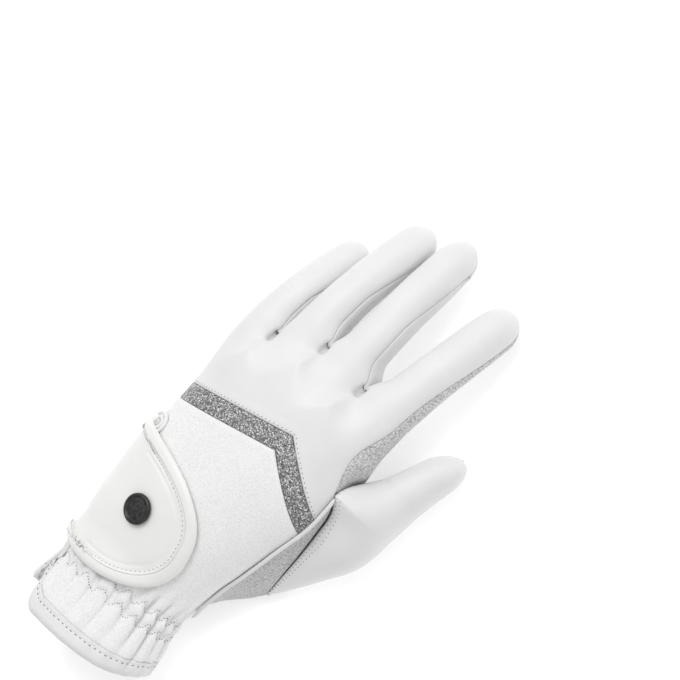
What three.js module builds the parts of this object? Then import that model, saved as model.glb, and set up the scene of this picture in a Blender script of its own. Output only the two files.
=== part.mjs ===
// A horse riding glove for the left hand, lying palm down in the form that it has when worn.
// Millimetres. +Y runs from the cuff to the fingertips, +X to the thumb side, +Z up from the surface.
// While it is built, y = 0 is the elastic line at the wrist. Each piece is a wall of cloth or leather
// on one shared surface of the hand, so neighbours meet at their seams with a small gap.
import * as THREE from "three";

// Driving sizes
const REACH = 211; // elastic line to the tip of the middle finger
const CUFF_LENGTH = 31; // elastic line to the hem
const PALM_WIDTH = 90;
const PALM_DEPTH = 47; // back to palm at the knuckles
const THUMB_FORK = 98; // elastic line to the fork of the thumb
const THUMB_ROOT = 39; // elastic line to the point where the thumb leather starts
const THUMB_TIP = 143.5;
const THUMB_PATCH = 26; // length of the patch on the thumb's tip
const LEATHER = 1.2; // wall thicknesses
const FABRIC = 1.1;
const BINDING = 1.9;
const SEAM_GAP = 0.3; // between the pieces that meet at a seam
const SKIVE = 0.18; // how far a wall thins away from a seam on its inside, as a share of the wall
const NEAR_SEAM = 0.8; // pieces whose edges are nearer than this are neighbours at a seam
const HEM_WIDTH = 8.5; // bound edge of the cuff
const HEM_ROUND = 15; // radius of the cuff's corner on the back's side of the slit
const HEM_FAR_ROUND = 5; // and on the little finger's side
const HEM_CORNER = 0.65; // how far the corners are cut back, as a share of their radius
const BINDING_LIFT = 0.15; // how far the bound edges stand proud
const ZIGZAG_LOW = -5; // the two rows of elastic stitching, from the elastic line
const ZIGZAG_HIGH = 5;
const CUFF_SEAM = 10; // seam of the palm side of the cuff
const GATHERS = 17; // ripples round the cuff
const GATHER_DEPTH = 1.4;
const GATHER_FADE = 22; // length over which the ripples die out above the elastic
const SLIT_TOP = 66; // end of the wrist slit
const SLIT_WIDTH = 1.2;
const SLIT_EDGE = 2.4; // width of the binding on each side of the slit
const SLIT_FLARE = 2; // how far the far side of the slit stands out at the hem
const BAND_WIDTH = 8.6;
const BAND_APEX = 94.5; // lower edge of the chevron at its point
const BAND_END = 77; // lower edge of the chevron at the sides
const TAB_LENGTH = 60.6; // along the little finger's side
const TAB_REACH = 56.5; // across the back of the hand
const TAB_MIDDLE = 31; // from the elastic line to the middle of the tab
const TAB_RIM = 3.6;
const TAB_THICK = 1.3;
const TAB_RIM_THICK = 1.9;
const TAB_LIFT = 1; // how far the tab's free end stands off the back
const TAB_ROOT_LIFT = 0.75; // and its sewn end
const BUTTON_DIAMETER = 12.6;
const BUTTON_HEIGHT = 2.4;
const BUTTON_ACROSS = 28.4; // from the tab's root to the button's centre
const PIPING_DIAMETER = 1.7;
const KNUCKLE_EASE = 28; // length over which the hand turns into fingers
const FORK_EASE = 11; // length over which the walls of a fork settle into the fingers
const THUMB_EASE = 18;

const RAD = Math.PI / 180;

// A table's rows as objects with the named columns.
function table(columns, rows) {
  return rows.map((row) => Object.fromEntries(columns.map((name, i) => [name, row[i]])));
}

// Sections of the hand without its thumb. at: share of REACH, or of CUFF_LENGTH below the elastic line;
// centre: share of PALM_WIDTH; half: share of half PALM_WIDTH; low and top: shares of PALM_DEPTH;
// power: 2 is an ellipse and more is squarer; slant: how far the section leans forward at the thumb side.
const HAND = table(
  ["at", "centre", "half", "low", "top", "power", "slant"],
  [
    [-1.0, 0.043, 0.785, -0.03, 0.89, 2.05, 0.17],
    [-0.5, 0.032, 0.75, -0.01, 0.84, 2.1, 0.14],
    [-0.16, 0.016, 0.72, 0.02, 0.8, 2.2, 0.12],
    [0.02, 0.008, 0.705, 0.02, 0.8, 2.2, 0.12],
    [0.12, 0.003, 0.778, -0.03, 0.87, 2.25, 0.08],
    [0.2, 0.022, 0.848, -0.05, 0.92, 2.3, 0.04],
    [0.285, 0.045, 0.92, -0.05, 0.96, 2.3, 0.0],
    [0.41, 0.095, 1.01, -0.02, 1.0, 2.3, 0.0],
    [0.555, 0.075, 1.0, 0.19, 0.99, 2.3, 0.0],
    [0.66, 0.085, 1.0, 0.34, 0.93, 2.3, 0.0],
    [0.76, 0.085, 1.0, 0.4, 0.88, 2.3, 0.0],
  ],
);

// Turn of the main seams round the section in degrees: 0 is the little finger's side, 90 the back.
const SEAM_TURNS = table(
  ["at", "little", "slit", "thumb"],
  [
    [-1.0, 12, 34, 192],
    [-0.15, 12, 29, 192],
    [0.02, 12, 28, 191],
    [0.12, 12, 28, 181],
    [0.2, 12, 30, 175],
    [0.285, 12, 33, 168],
    [0.36, 12, 36, 161],
    [0.41, 12, 37, 157],
    [0.46, 12, 38, 156],
    [0.555, 12, 38, 158],
    [0.66, 12, 38, 160],
  ],
);

// Fingers. root, fork, joint, tip: centre across the hand as shares of PALM_WIDTH; length: share of REACH;
// half: half width as a share of PALM_WIDTH; drop: how much lower its root lies, as a share of PALM_DEPTH.
const FINGERS = table(
  ["name", "root", "fork", "joint", "tip", "length", "half", "drop"],
  [
    ["little", -0.3, -0.325, -0.325, -0.32, 0.845, 0.096, 0.03],
    ["ring", -0.075, -0.105, -0.115, -0.115, 0.965, 0.109, 0.0],
    ["middle", 0.155, 0.152, 0.125, 0.09, 1.0, 0.11, 0.0],
    ["index", 0.43, 0.445, 0.475, 0.49, 0.958, 0.112, 0.06],
  ],
);
const FINGER_ROOT = 0.45; // where the fingers' centre lines start, share of REACH
// rise: height of the centre as a share of PALM_DEPTH; wide, deep: shares of the finger's half width.
const FINGER_ARCH = table(
  ["along", "rise", "wide", "deep"],
  [
    [0.0, 0.62, 1.2, 1.2],
    [0.35, 0.61, 1.08, 1.12],
    [0.6, 0.53, 0.98, 1.0],
    [0.82, 0.35, 0.95, 0.92],
    [1.0, 0.17, 0.86, 0.84],
  ],
);
const TIP_ROUND = 0.1; // share of a finger that rounds off

// Forks between the fingers, and the two outer ends of the same line. band, across: where the line between
// two fingers meets the band and the fork, shares of PALM_WIDTH; back, palm: how far up the fork lies on
// each side, shares of REACH.
const FORKS = table(
  ["band", "across", "back", "palm"],
  [
    [-0.4, -0.4, 0.605, 0.605],
    [-0.215, -0.23, 0.603, 0.615],
    [0.02, 0.028, 0.66, 0.668],
    [0.26, 0.29, 0.65, 0.665],
    [0.6, 0.6, 0.65, 0.65],
  ],
);

// Sections of the thumb, square to Y. at: share of the way from THUMB_ROOT to THUMB_TIP; across, half: shares
// of PALM_WIDTH; up, deep: shares of PALM_DEPTH; inner, outer: turns of its two long seams in degrees.
const THUMB = table(
  ["at", "across", "half", "up", "deep", "inner", "outer"],
  [
    [0.0, 0.44, 0.1, 0.215, 0.2, 200, 200],
    [0.1, 0.488, 0.133, 0.235, 0.225, 150, 238],
    [0.25, 0.555, 0.161, 0.255, 0.26, 110, 258],
    [0.39, 0.627, 0.172, 0.266, 0.272, 80, 262],
    [0.565, 0.672, 0.153, 0.262, 0.268, 60, 262],
    [0.7, 0.705, 0.122, 0.248, 0.25, 20, 262],
    [0.84, 0.748, 0.1, 0.215, 0.217, 2, 262],
    [1.0, 0.795, 0.085, 0.178, 0.182, 0, 262],
  ],
);
const THUMB_ROUND = 0.12;
const THUMB_PALM_TURN = -60; // where the fork's palm end runs out along the thumb

// Seams that leave the sections. at: share of THUMB_FORK; across: share of PALM_WIDTH; up: of PALM_DEPTH.
const THUMB_BACK_SEAM = table(
  ["at", "across", "up"],
  [
    [0.52, 0.553, 0.27],
    [0.67, 0.57, 0.4],
    [0.81, 0.579, 0.52],
    [0.92, 0.578, 0.61],
  ],
);
const PALM_THUMB_SEAM = table(
  ["at", "across", "up"],
  [
    [0.1, 0.15, 0.0],
    [0.4, 0.28, 0.0],
    [0.7, 0.37, 0.0],
    [0.88, 0.45, 0.03],
    [1.0, 0.51, 0.1],
  ],
);
const STRIP_OUTER_SEAM = table(
  ["at", "across", "up"],
  [
    [0.1, 0.285, 0.015],
    [0.2, 0.36, 0.02],
    [0.31, 0.46, 0.05],
  ],
);

// Small mathematics
const mix = (a, b, share) => a + (b - a) * share;
const clamp = (value) => Math.min(1, Math.max(0, value));
const ease = (value) => {
  const c = clamp(value);
  return c * c * (3 - 2 * c);
};
const signedPower = (value, power) => Math.sign(value) * Math.abs(value) ** power;

// The value of a table's column at a place, on a smooth curve through its rows.
function read(rows, column, place, placeColumn = "at") {
  const last = rows.length - 1;
  if (place <= rows[0][placeColumn]) return rows[0][column];
  if (place >= rows[last][placeColumn]) return rows[last][column];
  let i = 0;
  while (place > rows[i + 1][placeColumn]) i++;
  const slope = (k) => {
    const a = rows[Math.max(0, k - 1)];
    const b = rows[Math.min(last, k + 1)];
    return (b[column] - a[column]) / (b[placeColumn] - a[placeColumn]);
  };
  const span = rows[i + 1][placeColumn] - rows[i][placeColumn];
  const s = (place - rows[i][placeColumn]) / span;
  const s2 = s * s;
  const s3 = s2 * s;
  return (
    (2 * s3 - 3 * s2 + 1) * rows[i][column] +
    (s3 - 2 * s2 + s) * span * slope(i) +
    (3 * s2 - 2 * s3) * rows[i + 1][column] +
    (s3 - s2) * span * slope(i + 1)
  );
}

// The place in the tables of a distance from the elastic line.
const handPlace = (y) => (y < 0 ? y / CUFF_LENGTH : y / REACH);
const seamTurn = (name, y) => read(SEAM_TURNS, name, handPlace(y)) * RAD;

function handSection(y) {
  const place = handPlace(y);
  const low = read(HAND, "low", place) * PALM_DEPTH;
  const top = read(HAND, "top", place) * PALM_DEPTH;
  return {
    centre: read(HAND, "centre", place) * PALM_WIDTH,
    half: (read(HAND, "half", place) * PALM_WIDTH) / 2,
    mid: (low + top) / 2,
    rise: (top - low) / 2,
    power: read(HAND, "power", place),
    slant: read(HAND, "slant", place),
  };
}

// A point of the section at y, leant forward as the section is and kept on or above the surface below.
function place(x, y, z) {
  const s = handSection(y);
  return new THREE.Vector3(x, y + s.slant * (x - s.centre), Math.max(z, 0));
}

// How far the gathered cloth stands out: ripples down the cuff, short puffs between the elastic rows.
function gather(y, turn) {
  const wave = Math.cos(GATHERS * turn + 0.6 * Math.sin(2 * turn));
  const down = (ZIGZAG_LOW - y) / (CUFF_LENGTH + ZIGZAG_LOW);
  const between = (y - ZIGZAG_LOW) / (ZIGZAG_HIGH - ZIGZAG_LOW);
  if (down > 0) return GATHER_DEPTH * wave * (0.35 + 0.65 * Math.sin(Math.PI * clamp(down * 0.85)));
  if (between < 1) return GATHER_DEPTH * (0.35 * wave + 0.55 * Math.sin(Math.PI * between));
  return GATHER_DEPTH * 0.35 * wave * (1 - ease((y - ZIGZAG_HIGH) / GATHER_FADE));
}

// How far the cuff on the little finger's side of the slit stands out.
function flare(y, turn) {
  const slit = seamTurn("slit", y);
  if (turn >= slit) return 0;
  return SLIT_FLARE * ease(-y / (0.7 * CUFF_LENGTH)) * ease((turn - slit + 70 * RAD) / (70 * RAD));
}

// The hand's surface at a distance y from the elastic line and a turn round the section, raised by lift.
function handPoint(y, turn, lift = 0, ripple = 1) {
  const s = handSection(y);
  const beyond = turn > 1.5 * Math.PI ? turn - 2 * Math.PI : turn;
  const out = lift + ripple * gather(y, turn) + flare(y, beyond);
  const x = s.centre - (s.half + out) * signedPower(Math.cos(turn), 2 / s.power);
  const z = s.mid + (s.rise + out) * signedPower(Math.sin(turn), 2 / s.power);
  return place(x, y, z);
}

// The turn at which the back (side 1) or the palm (side -1) has a given x.
function turnAt(y, x, side) {
  const s = handSection(y);
  const share = Math.min(1, Math.max(-1, (s.centre - x) / s.half));
  return side * Math.acos(signedPower(share, s.power / 2));
}

// Fingers
const fingerStart = () => FINGER_ROOT * REACH;
const fingerEnd = (finger) => finger.length * REACH;

function fingerCentre(finger, y) {
  const along = (y - fingerStart()) / (fingerEnd(finger) - fingerStart());
  const bends = [
    { along: 0, across: finger.root },
    { along: 0.36, across: finger.fork },
    { along: 0.7, across: finger.joint },
    { along: 1, across: finger.tip },
  ];
  const rise = read(FINGER_ARCH, "rise", along, "along") - finger.drop * (1 - clamp(along));
  return new THREE.Vector3(read(bends, "across", along, "along") * PALM_WIDTH, y, rise * PALM_DEPTH);
}

// A finger's surface at a distance y from the elastic line and a turn round it.
function fingerPoint(finger, y, turn) {
  const end = fingerEnd(finger);
  const along = (y - fingerStart()) / (end - fingerStart());
  const step = 0.5;
  const centre = fingerCentre(finger, y);
  const ahead = fingerCentre(finger, Math.min(y + step, end));
  const behind = fingerCentre(finger, Math.min(y, end - step) - step);
  const forward = ahead.sub(behind).normalize();
  const side = new THREE.Vector3().crossVectors(forward, new THREE.Vector3(0, 0, 1)).normalize();
  const up = new THREE.Vector3().crossVectors(side, forward);
  const round = clamp((along - (1 - TIP_ROUND)) / TIP_ROUND);
  const half = finger.half * PALM_WIDTH * Math.sqrt(Math.max(0, 1 - round * round));
  const wide = half * read(FINGER_ARCH, "wide", along, "along");
  const deep = half * read(FINGER_ARCH, "deep", along, "along");
  centre.addScaledVector(side, -wide * signedPower(Math.cos(turn), 0.9));
  centre.addScaledVector(up, deep * signedPower(Math.sin(turn), 0.9));
  centre.z = Math.max(centre.z, 0);
  return centre;
}

// Rows along a finger past its fork, closer together where the tip rounds off.
const FINGER_ROWS = 11;
const ROUND_ROWS = 3;
const WALL_ROWS = 8; // the side walls between fingers end here
const PATCH_ROW = 6; // the index tip patch starts here
const WALL_TURN = 32 * RAD;
const LITTLE_SEAM = 12 * RAD;
const INDEX_SEAM = 20 * RAD;
const SIDE_SPLIT = 0.62; // where the side strip starts, as a share of the index finger's front

function rowShare(row) {
  const straight = FINGER_ROWS - ROUND_ROWS;
  const body = 0.86;
  if (row <= straight) return (body * row) / straight;
  return mix(body, 1, Math.sin(((row - straight) / ROUND_ROWS) * (Math.PI / 2)));
}

// A row's distance from the elastic line. The rows start at a fork's own level on the back or palm and
// settle on a level that both share before the tip.
function rowLevel(start, shared, end, row) {
  return mix(mix(start, shared, clamp(row / WALL_ROWS)), end, rowShare(row));
}

// Half the turn that the side wall between two fingers takes, narrowing to nothing near the tip.
const wallTurn = (row) => WALL_TURN * clamp((WALL_ROWS - row) / 4.5);

// Turns of a finger's seams on the little finger's side and on the thumb's side.
function fingerSeams(index, row) {
  const fade = 1 - ease(rowShare(row));
  return [
    index === 0 ? LITTLE_SEAM * fade : wallTurn(row),
    index === FINGERS.length - 1 ? INDEX_SEAM * fade : wallTurn(row),
  ];
}

const forkLevel = (k, side) => (side > 0 ? FORKS[k].back : FORKS[k].palm) * REACH;
const sharedLevel = (k) => (forkLevel(k, 1) + forkLevel(k, -1)) / 2;
const isFork = (k) => k > 0 && k < FINGERS.length;

// Chevron of the glitter band: an edge's distance from the elastic line, and where it turns.
const CHEVRON_LEFT = -0.38; // where its legs end and turn, shares of PALM_WIDTH
const CHEVRON_TURN = 0.24;
const CHEVRON_RIGHT = 0.51;
const chevronSlope = (end) => (BAND_APEX - BAND_END) / ((CHEVRON_TURN - end) * PALM_WIDTH);
const steepness = (slope) => Math.sqrt(1 + slope * slope);

function chevron(x, offset) {
  const legs = [chevronSlope(CHEVRON_LEFT), chevronSlope(CHEVRON_RIGHT)].map(
    (slope) => BAND_APEX + slope * (x - CHEVRON_TURN * PALM_WIDTH) + offset * steepness(slope),
  );
  return Math.min(...legs);
}
function chevronTurn(offset) {
  const [left, right] = [chevronSlope(CHEVRON_LEFT), chevronSlope(CHEVRON_RIGHT)];
  return CHEVRON_TURN * PALM_WIDTH + (offset * (steepness(right) - steepness(left))) / (left - right);
}

// The turn of the line between two fingers' parts of the back or palm.
function lineTurn(k, y, side) {
  if (k === 0) return seamTurn("little", y);
  if (k === FINGERS.length) return seamTurn("thumb", y) - (side > 0 ? 0 : 2 * Math.PI);
  const start = chevron(chevronTurn(BAND_WIDTH), BAND_WIDTH);
  const blend = ease((y - start) / (forkLevel(k, side) - start));
  const band = k === 3 ? chevronTurn(BAND_WIDTH) : FORKS[k].band * PALM_WIDTH;
  return turnAt(y, mix(band, FORKS[k].across * PALM_WIDTH, blend), side);
}
const cellTurn = (index, y, w, side) => mix(lineTurn(index, y, side), lineTurn(index + 1, y, side), w);

// A finger's part of the back (side 1) or palm (side -1); w runs across it from 0 to 1.
function cellBase(index, y, w, side, forkY, row) {
  const [left, right] = fingerSeams(index, row);
  const first = index === 0;
  const last = index === FINGERS.length - 1;
  const from = side > 0 || first ? left : -left;
  const to = side > 0 ? Math.PI - right : (last ? -right : right) - Math.PI;
  const onFinger = fingerPoint(FINGERS[index], y, mix(from, to, w));
  const blend = ease((y - forkY + KNUCKLE_EASE) / KNUCKLE_EASE);
  if (blend >= 1) return onFinger;
  return handPoint(y, cellTurn(index, y, w, side)).lerp(onFinger, blend);
}

// The groove that leads to a fork.
function valley(k, y, side) {
  const level = forkLevel(k, side);
  const before = cellBase(k - 1, y, 1, side, level, 0);
  return before.add(cellBase(k, y, 0, side, level, 0)).multiplyScalar(0.5);
}

// The line from the back's fork point (r = 0) to the palm's (r = 1).
const FORK_BOW = 0.75; // how far its middle bows to the fingertips
function forkLine(k, r) {
  const top = valley(k, forkLevel(k, 1), 1);
  const bottom = valley(k, forkLevel(k, -1), -1);
  top.lerp(bottom, r);
  top.y += 4 * FORK_BOW * r * (1 - r);
  return top;
}

// The wall between two fingers at fork k, on the finger before it (edge 1) or after it (edge 0).
function wallPoint(k, edge, row, r) {
  const finger = FINGERS[k - edge];
  const start = mix(forkLevel(k, 1), forkLevel(k, -1), r);
  const y = rowLevel(start, sharedLevel(k), fingerEnd(finger), row);
  const turnOn = (onRow) => {
    const wall = wallTurn(onRow);
    return edge === 1 ? Math.PI - wall + 2 * wall * r : wall - 2 * wall * r;
  };
  const shift = forkLine(k, r).sub(fingerPoint(finger, start, turnOn(0)));
  return fingerPoint(finger, y, turnOn(row)).addScaledVector(shift, 1 - ease((y - start) / FORK_EASE));
}

// A finger's part of the hand before the forks, with its edges drawn into the grooves.
function knuckleCell(index, y, w, side) {
  const forkY = mix(forkLevel(index, side), forkLevel(index + 1, side), w);
  const point = cellBase(index, y, w, side, forkY, 0);
  for (const edge of [0, 1]) {
    const k = index + edge;
    if (!isFork(k)) continue;
    const level = forkLevel(k, side);
    const edgeY = y + level - forkY;
    const shift = valley(k, edgeY, side).sub(cellBase(index, edgeY, edge, side, level, 0));
    point.addScaledVector(shift, edge ? w ** 2 : (1 - w) ** 2);
  }
  return point;
}

// A finger's back or front past its forks.
function fingerCell(index, row, w, side) {
  const end = fingerEnd(FINGERS[index]);
  const start = mix(forkLevel(index, side), forkLevel(index + 1, side), w);
  const shared = mix(sharedLevel(index), sharedLevel(index + 1), w);
  const y = rowLevel(start, shared, end, row);
  const point = cellBase(index, y, w, side, start, row);
  for (const edge of [0, 1]) {
    const k = index + edge;
    if (!isFork(k)) continue;
    const level = forkLevel(k, side);
    const own = cellBase(index, rowLevel(level, sharedLevel(k), end, row), edge, side, level, row);
    const shift = wallPoint(k, edge, row, side > 0 ? 0 : 1).sub(own);
    point.addScaledVector(shift, edge ? w ** 2 : (1 - w) ** 2);
  }
  return point;
}

// Thumb
const thumbPlace = (y) => (y - THUMB_ROOT) / (THUMB_TIP - THUMB_ROOT);
const thumbTurn = (name, y) => read(THUMB, name, thumbPlace(y)) * RAD;

function thumbPoint(y, turn) {
  const at = thumbPlace(y);
  const round = clamp((at - (1 - THUMB_ROUND)) / THUMB_ROUND);
  const close = Math.sqrt(Math.max(0, 1 - round * round));
  const wide = read(THUMB, "half", at) * PALM_WIDTH * close;
  const deep = read(THUMB, "deep", at) * PALM_DEPTH * close;
  return place(
    read(THUMB, "across", at) * PALM_WIDTH - wide * signedPower(Math.cos(turn), 0.9),
    y,
    read(THUMB, "up", at) * PALM_DEPTH + deep * signedPower(Math.sin(turn), 0.9),
  );
}

// A seam given by its own table, with optional further rows at its ends.
function seamPoint(rows, y, first, last) {
  const all = rows.map((row) => ({
    at: row.at * THUMB_FORK,
    across: row.across * PALM_WIDTH,
    up: row.up * PALM_DEPTH,
  }));
  if (first) all.unshift(first);
  if (last) all.push(last);
  return place(read(all, "across", y), y, read(all, "up", y));
}

// The thumb's fork on the back, and the point where the thumb leather starts, as rows of a seam.
const forkPoint = handPoint(THUMB_FORK, seamTurn("thumb", THUMB_FORK));
const rootPoint = thumbPoint(THUMB_ROOT, thumbTurn("outer", THUMB_ROOT));
const forkRow = { at: THUMB_FORK, across: forkPoint.x, up: forkPoint.z };
const rootRow = { at: THUMB_ROOT, across: rootPoint.x, up: rootPoint.z };
const thumbBackSeam = (y) => seamPoint(THUMB_BACK_SEAM, y, rootRow, forkRow);
const palmSeam = (y) => seamPoint(PALM_THUMB_SEAM, y);
function stripSeam(y) {
  if (y < THUMB_ROOT) return seamPoint(STRIP_OUTER_SEAM, y, null, rootRow);
  return thumbPoint(y, thumbTurn("outer", y));
}

// The line of the thumb's fork from the back (r = 0) to the palm (r = 1).
function thumbForkLine(r) {
  const point = forkPoint.clone().lerp(palmSeam(THUMB_FORK), r);
  point.x += 2 * r * (1 - r);
  point.y += 5 * r * (1 - r);
  return point;
}

// Fades out the difference between a surface and the thumb's fork line as the fork opens.
function fromFork(y, r, surface) {
  const shift = thumbForkLine(r).sub(surface(THUMB_FORK, r));
  return surface(y, r).addScaledVector(shift, 1 - ease((y - THUMB_FORK) / THUMB_EASE));
}

// The inner side of the thumb, and the side of the hand that faces it.
const thumbInner = (y, r) =>
  fromFork(y, r, (at, share) => thumbPoint(at, mix(thumbTurn("inner", at), THUMB_PALM_TURN * RAD, share)));
const handSide = (y, r) => fromFork(y, r, (at, share) => knuckleCell(3, at, mix(1, SIDE_SPLIT, share), -1));

// The outer leather of the thumb between its two long seams, v from 0 to 1.
function thumbOuter(y, v) {
  const edge = y < THUMB_FORK ? thumbBackSeam(y) : thumbInner(y, 0);
  const shift = edge.sub(thumbPoint(y, thumbTurn("inner", y)));
  return thumbPoint(y, mix(thumbTurn("inner", y), thumbTurn("outer", y), v)).addScaledVector(
    shift,
    (1 - v) ** 2,
  );
}

// The strip on the palm side of the thumb, v from the palm to the outer leather.
function stripPoint(y, v) {
  const from = y < THUMB_FORK ? palmSeam(y) : thumbInner(y, 1);
  const to = stripSeam(y);
  const flat = from.clone().lerp(to, v);
  if (y <= THUMB_FORK) return flat;
  const [a, b] = [THUMB_PALM_TURN * RAD, thumbTurn("outer", y) - 2 * Math.PI];
  const round = thumbPoint(y, mix(a, b, v));
  round.addScaledVector(from.clone().sub(thumbPoint(y, a)), (1 - v) ** 2);
  return flat.lerp(round, ease((y - THUMB_FORK) / THUMB_EASE));
}

// The gusset between the back and the thumb, v from the back to the thumb.
function gussetPoint(y, v) {
  const from = handPoint(y, seamTurn("thumb", y));
  const to = y < THUMB_ROOT ? stripSeam(y) : thumbBackSeam(y);
  const straight = from.clone().lerp(to, v);
  const far = turnAt(y, to.x, -1) + 2 * Math.PI;
  const round = handPoint(y, mix(seamTurn("thumb", y), far, v));
  round.addScaledVector(to.clone().sub(handPoint(y, far)), v ** 2);
  return round.lerp(straight, ease(y / THUMB_ROOT));
}

// The palm below the thumb's fork: index and w as in the fingers' parts of the palm.
function palmPoint(index, y, w) {
  const lowTurn = () => {
    const at = (i, share) => cellTurn(i, THUMB_FORK, share, -1);
    const [first, last] = [at(0, 0), at(3, SIDE_SPLIT)];
    const share = (at(index, w) - first) / (last - first);
    const end = mix(last, turnAt(y, palmSeam(y).x, -1), ease((THUMB_FORK - y) / 30));
    return mix(seamTurn("little", y), end, share);
  };
  const above = y >= THUMB_FORK;
  const point = above ? knuckleCell(index, y, w, -1) : handPoint(y, lowTurn());
  if (index < 3 || w === 0) return point;
  const edge = above ? handSide(y, 1) : palmSeam(y);
  const own = above ? knuckleCell(3, y, SIDE_SPLIT, -1) : palmEdge(y);
  return point.addScaledVector(edge.sub(own), (w / SIDE_SPLIT) ** 2);
}
function palmEdge(y) {
  const last = cellTurn(3, THUMB_FORK, SIDE_SPLIT, -1);
  return handPoint(y, mix(last, turnAt(y, palmSeam(y).x, -1), ease((THUMB_FORK - y) / 30)));
}

// A grid of corner points over the unit square, rows first.
function patch(rows, columns, at, flip = false) {
  const points = [];
  for (let i = 0; i <= rows; i++)
    for (let j = 0; j <= columns; j++) points.push(at(i / rows, j / columns, i, j));
  return { rows, columns, points, flip };
}

// Walled pieces: each has a material, a wall and its patches. lift: how far it is off the hand's surface;
// layer: pieces of one layer meet at seams; normalAt: the direction of its wall, where its faces don't give it.
const walled = [];
function addWalled(name, material, wall, patches, { lift = 0, layer = "hand", normalAt = null } = {}) {
  walled.push({ name, material, wall, patches, lift, layer, normalAt });
}

const keyOf = (p) => [p.x, p.y, p.z].map((v) => Math.round((v + 0.000313) * 1000)).join(" ");

// The corners and triangles of a piece with its shared corners merged.
function shapeOf(piece) {
  const index = new Map();
  const points = [];
  const faces = [];
  for (const { rows, columns, points: grid, flip } of piece.patches) {
    const ids = grid.map((p) => {
      const key = keyOf(p);
      if (!index.has(key)) {
        index.set(key, points.length);
        points.push(p);
      }
      return index.get(key);
    });
    const id = (i, j) => ids[i * (columns + 1) + j];
    for (let i = 0; i < rows; i++)
      for (let j = 0; j < columns; j++) {
        const quad = [id(i, j), id(i, j + 1), id(i + 1, j + 1), id(i + 1, j)];
        if (flip) quad.reverse();
        const [a, b, c, d] = quad;
        for (const face of [[a, b, c], [a, c, d]]) if (new Set(face).size === 3) faces.push(face);
      }
  }
  return { points, faces };
}

// The unit normal at each corner of a shape.
function cornerNormals({ points, faces }) {
  const normals = points.map(() => new THREE.Vector3());
  for (const face of faces) {
    const [a, b, c] = face.map((v) => points[v]);
    const normal = new THREE.Vector3().crossVectors(b.clone().sub(a), c.clone().sub(a));
    for (const v of face) normals[v].add(normal);
  }
  return normals.map((n) => n.normalize());
}

// The edges that only one triangle uses, in that triangle's direction.
function openEdges(faces) {
  const seen = new Set(faces.flatMap(([a, b, c]) => [`${a} ${b}`, `${b} ${c}`, `${c} ${a}`]));
  const pairs = [...seen].map((key) => key.split(" ").map(Number));
  return pairs.filter(([a, b]) => !seen.has(`${b} ${a}`));
}

// The normal of the nearest open edge of a shape to a corner of its neighbour, if one is near.
function normalAcross(corner, shape) {
  let best = NEAR_SEAM;
  let normal = null;
  const nearest = new THREE.Vector3();
  for (const { a, b, line, length } of shape.rim) {
    if (line.start.distanceTo(corner) > length + best) continue;
    const share = line.closestPointToPointParameter(corner, true);
    const distance = line.at(share, nearest).distanceTo(corner);
    if (distance >= best) continue;
    best = distance;
    normal = shape.normals[a].clone().lerp(shape.normals[b], share);
  }
  return normal;
}

function meshGeometry(points, triangles) {
  const geometry = new THREE.BufferGeometry();
  const coordinates = points.flatMap((p) => p.toArray());
  geometry.setAttribute("position", new THREE.Float32BufferAttribute(coordinates, 3));
  geometry.setIndex(triangles.flat());
  geometry.computeVertexNormals();
  return geometry;
}

// Gives a shape its wall: an outer skin drawn back from its seams, an inner skin, and the edges between.
function wallGeometry(piece, shape, neighbours) {
  const { points, faces, rim } = shape;
  const normals = shape.normals.map((n) => n.clone());
  for (const v of new Set(rim.flatMap(({ a, b }) => [a, b]))) {
    for (const other of neighbours) normals[v].add(normalAcross(points[v], other) ?? new THREE.Vector3());
    normals[v].normalize();
  }
  const inward = points.map(() => []);
  for (const { a, b } of rim) {
    const along = points[b].clone().sub(points[a]).normalize();
    for (const v of [a, b]) inward[v].push(new THREE.Vector3().crossVectors(normals[v], along).normalize());
  }
  const drawnBack = points.map((_, v) => {
    const sum = inward[v].reduce((total, d) => total.add(d), new THREE.Vector3());
    const miter = Math.max(0.35, sum.length() / Math.max(1, inward[v].length));
    return sum.normalize().divideScalar(miter);
  });
  const outer = points.map((p, v) => {
    const moved = p.clone().addScaledVector(normals[v], piece.lift);
    moved.addScaledVector(drawnBack[v], SEAM_GAP / 2);
    moved.z = Math.max(moved.z, 0);
    return moved;
  });
  const inner = outer.map((p, v) =>
    p.clone().addScaledVector(normals[v], -piece.wall).addScaledVector(drawnBack[v], SKIVE * piece.wall),
  );
  const n = points.length;
  const triangles = [];
  for (const [a, b, c] of faces) triangles.push([a, b, c], [n + a, n + c, n + b]);
  for (const { a, b } of rim) triangles.push([b, a, n + a], [b, n + a, n + b]);
  return meshGeometry([...outer, ...inner], triangles);
}

// Materials
function material(color, roughness, metalness = 0) {
  return new THREE.MeshStandardMaterial({ color, roughness, metalness });
}
const whiteLeather = material(0xf1f1f0, 0.5);
const whiteFabric = material(0xe6e7e8, 0.85);
const stripFabric = material(0xc9cacc, 0.8);
const glitter = material(0x9b9c9e, 0.35, 0.4);
const darkMetal = material(0x2c2e31, 0.35, 0.85);

// Glitter band
// A point on an edge of the chevron; turnAtY gives its turn for a distance from the elastic line.
function chevronPoint(offset, turnAtY) {
  let y = chevron(chevronTurn(offset), offset);
  for (let pass = 0; pass < 6; pass++) y = chevron(handPoint(y, turnAtY(y)).x, offset);
  return handPoint(y, turnAtY(y));
}
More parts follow.
